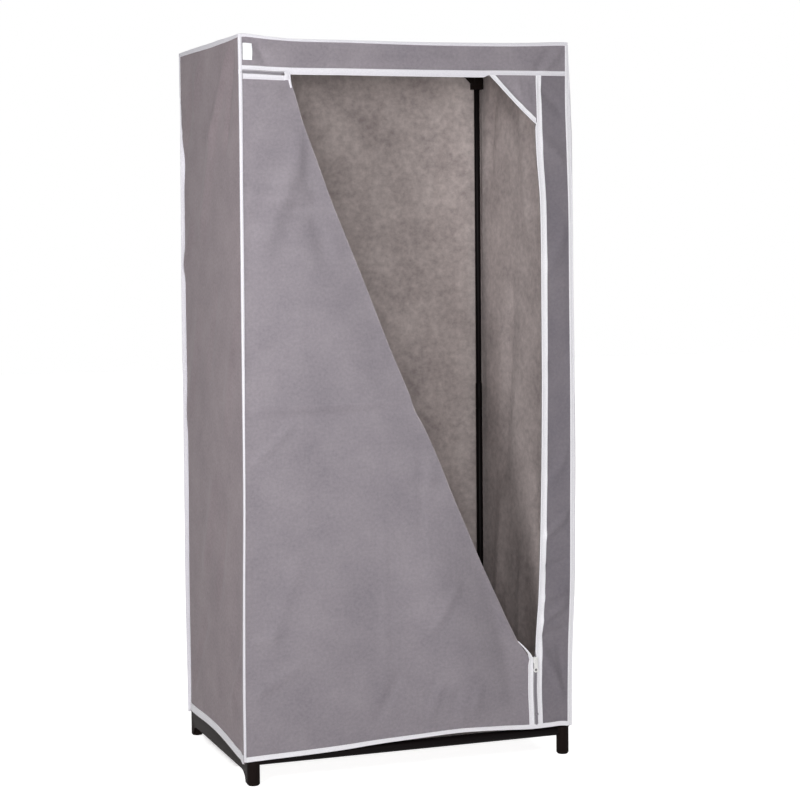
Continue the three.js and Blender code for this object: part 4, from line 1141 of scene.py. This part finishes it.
# The rays that see the white backdrop: camera, reflected and transmitted ones, not those that light the object
def backdropRays(tree):
    seen = addNode(tree, "ShaderNodeLightPath")
    direct = addNode(tree, "ShaderNodeMath", {0: seen.outputs["Is Camera Ray"], 1: seen.outputs["Is Glossy Ray"]},
                     operation="MAXIMUM")
    return addNode(tree, "ShaderNodeMath", {0: direct.outputs["Value"], 1: seen.outputs["Is Transmission Ray"]},
                   operation="MAXIMUM").outputs["Value"]


clearSelection()
bpy.ops.mesh.primitive_plane_add(size=28, location=(0, 0, 0))
floor = bpy.context.object
floor.name = "floor"
# Seamless studio paper: matt and near-white, lifted to the backdrop's white where nothing shades it
paper, tree, surface = newMaterial("studioPaper", Roughness=0.9)
surface.inputs["Base Color"].default_value = colour("#f4f3f2")
surface.inputs["Specular IOR Level"].default_value = 0.1
grain = addNode(tree, "ShaderNodeTexNoise", {"Vector": coordinates(tree), "Scale": 300.0, "Detail": 2.0})
paperBump = addNode(tree, "ShaderNodeBump", {"Height": grain.outputs["Fac"], "Strength": 0.05, "Distance": 0.0005})
tree.links.new(paperBump.outputs["Normal"], surface.inputs["Normal"])
# The paper sweeps up to the backdrop: its white grows with the distance from the wardrobe
away = addNode(tree, "ShaderNodeVectorMath", {0: coordinates(tree)}, operation="LENGTH")
sweep = addNode(tree, "ShaderNodeMapRange",
                {"Value": away.outputs["Value"], "From Min": 0.4, "From Max": 1.8, "To Min": 0.84, "To Max": 1.0})
# None of that white is added under the back of the wardrobe, where the paper lies in the dark
behind = addNode(tree, "ShaderNodeVectorMath", {0: coordinates(tree), 1: (0, 0.12, 0)}, operation="SUBTRACT")
sized = addNode(tree, "ShaderNodeVectorMath", {0: behind.outputs["Vector"], 1: (0.37, 0.2, 1)}, operation="DIVIDE")
unsigned = addNode(tree, "ShaderNodeVectorMath", {0: sized.outputs["Vector"]}, operation="ABSOLUTE")
apart = addNode(tree, "ShaderNodeSeparateXYZ", {"Vector": unsigned.outputs["Vector"]})
outside = addNode(tree, "ShaderNodeMath", {0: apart.outputs["X"], 1: apart.outputs["Y"]}, operation="MAXIMUM")
clear = addNode(tree, "ShaderNodeMapRange", {"Value": outside.outputs["Value"], "From Min": 0.8, "From Max": 1.05},
                interpolation_type="SMOOTHSTEP")
white = addNode(tree, "ShaderNodeMath", {0: sweep.outputs["Result"], 1: clear.outputs["Result"]},
                operation="MULTIPLY")
lift = addNode(tree, "ShaderNodeMath", {0: backdropRays(tree), 1: white.outputs["Value"]}, operation="MULTIPLY")
glow = addNode(tree, "ShaderNodeEmission", {"Strength": lift.outputs["Value"]})
both = addNode(tree, "ShaderNodeAddShader", {0: surface.outputs["BSDF"], 1: glow.outputs["Emission"]})
tree.links.new(both.outputs["Shader"], tree.nodes["Material Output"].inputs["Surface"])
dress(floor, [paper])

world = bpy.data.worlds.new("studio")
bpy.context.scene.world = world
world.use_nodes = True
tree = world.node_tree
light = {"roomTone": "#f3f2f4", "room": 0.17, "key": 102, "side": 12, "fill": 5.5, "back": 90}
tree.nodes["Background"].inputs["Color"].default_value = colour(light["roomTone"])
tree.nodes["Background"].inputs["Strength"].default_value = light["room"]
backdrop = addNode(tree, "ShaderNodeBackground", {"Color": (1, 1, 1, 1), "Strength": 1.0})
choice = addNode(tree, "ShaderNodeMixShader",
                 {0: backdropRays(tree), 1: tree.nodes["Background"].outputs["Background"],
                  2: backdrop.outputs["Background"]})
tree.links.new(choice.outputs["Shader"], tree.nodes["World Output"].inputs["Surface"])


def softBox(name, place, target, size, power, spread=180):
    data = bpy.data.lights.new(name, "AREA")
    data.shape, data.energy, data.spread = "RECTANGLE", power, math.radians(spread)
    data.size, data.size_y = size
    lamp = bpy.data.objects.new(name, data)
    bpy.context.collection.objects.link(lamp)
    facing = (Vector(target) - Vector(place)).to_track_quat("-Z", "Y")
    lamp.matrix_world = Matrix.Translation(place) @ facing.to_matrix().to_4x4()
    return lamp


# One soft box behind the camera, one close on the left, a weak one on the left side, one behind on the right
softBox("keyLight", (-1.5, -5.0, 1.2), (0, 0, 0.95), (1.4, 1.0), light["key"])
softBox("sideLight", (-1.62, -1.75, 1.5), (0, 0, 0.9), (0.4, 0.9), light["side"], spread=120)
softBox("backLight", (3.0, 3.2, 2.6), (0, 0, 0.8), (2.0, 2.0), light["back"])
softBox("fillLight", (-3.6, 0.4, 1.7), (-0.3, 0, 1.0), (1.6, 1.6), light["fill"])
bpy.context.scene.view_settings.view_transform = "Standard"
print("studio set")
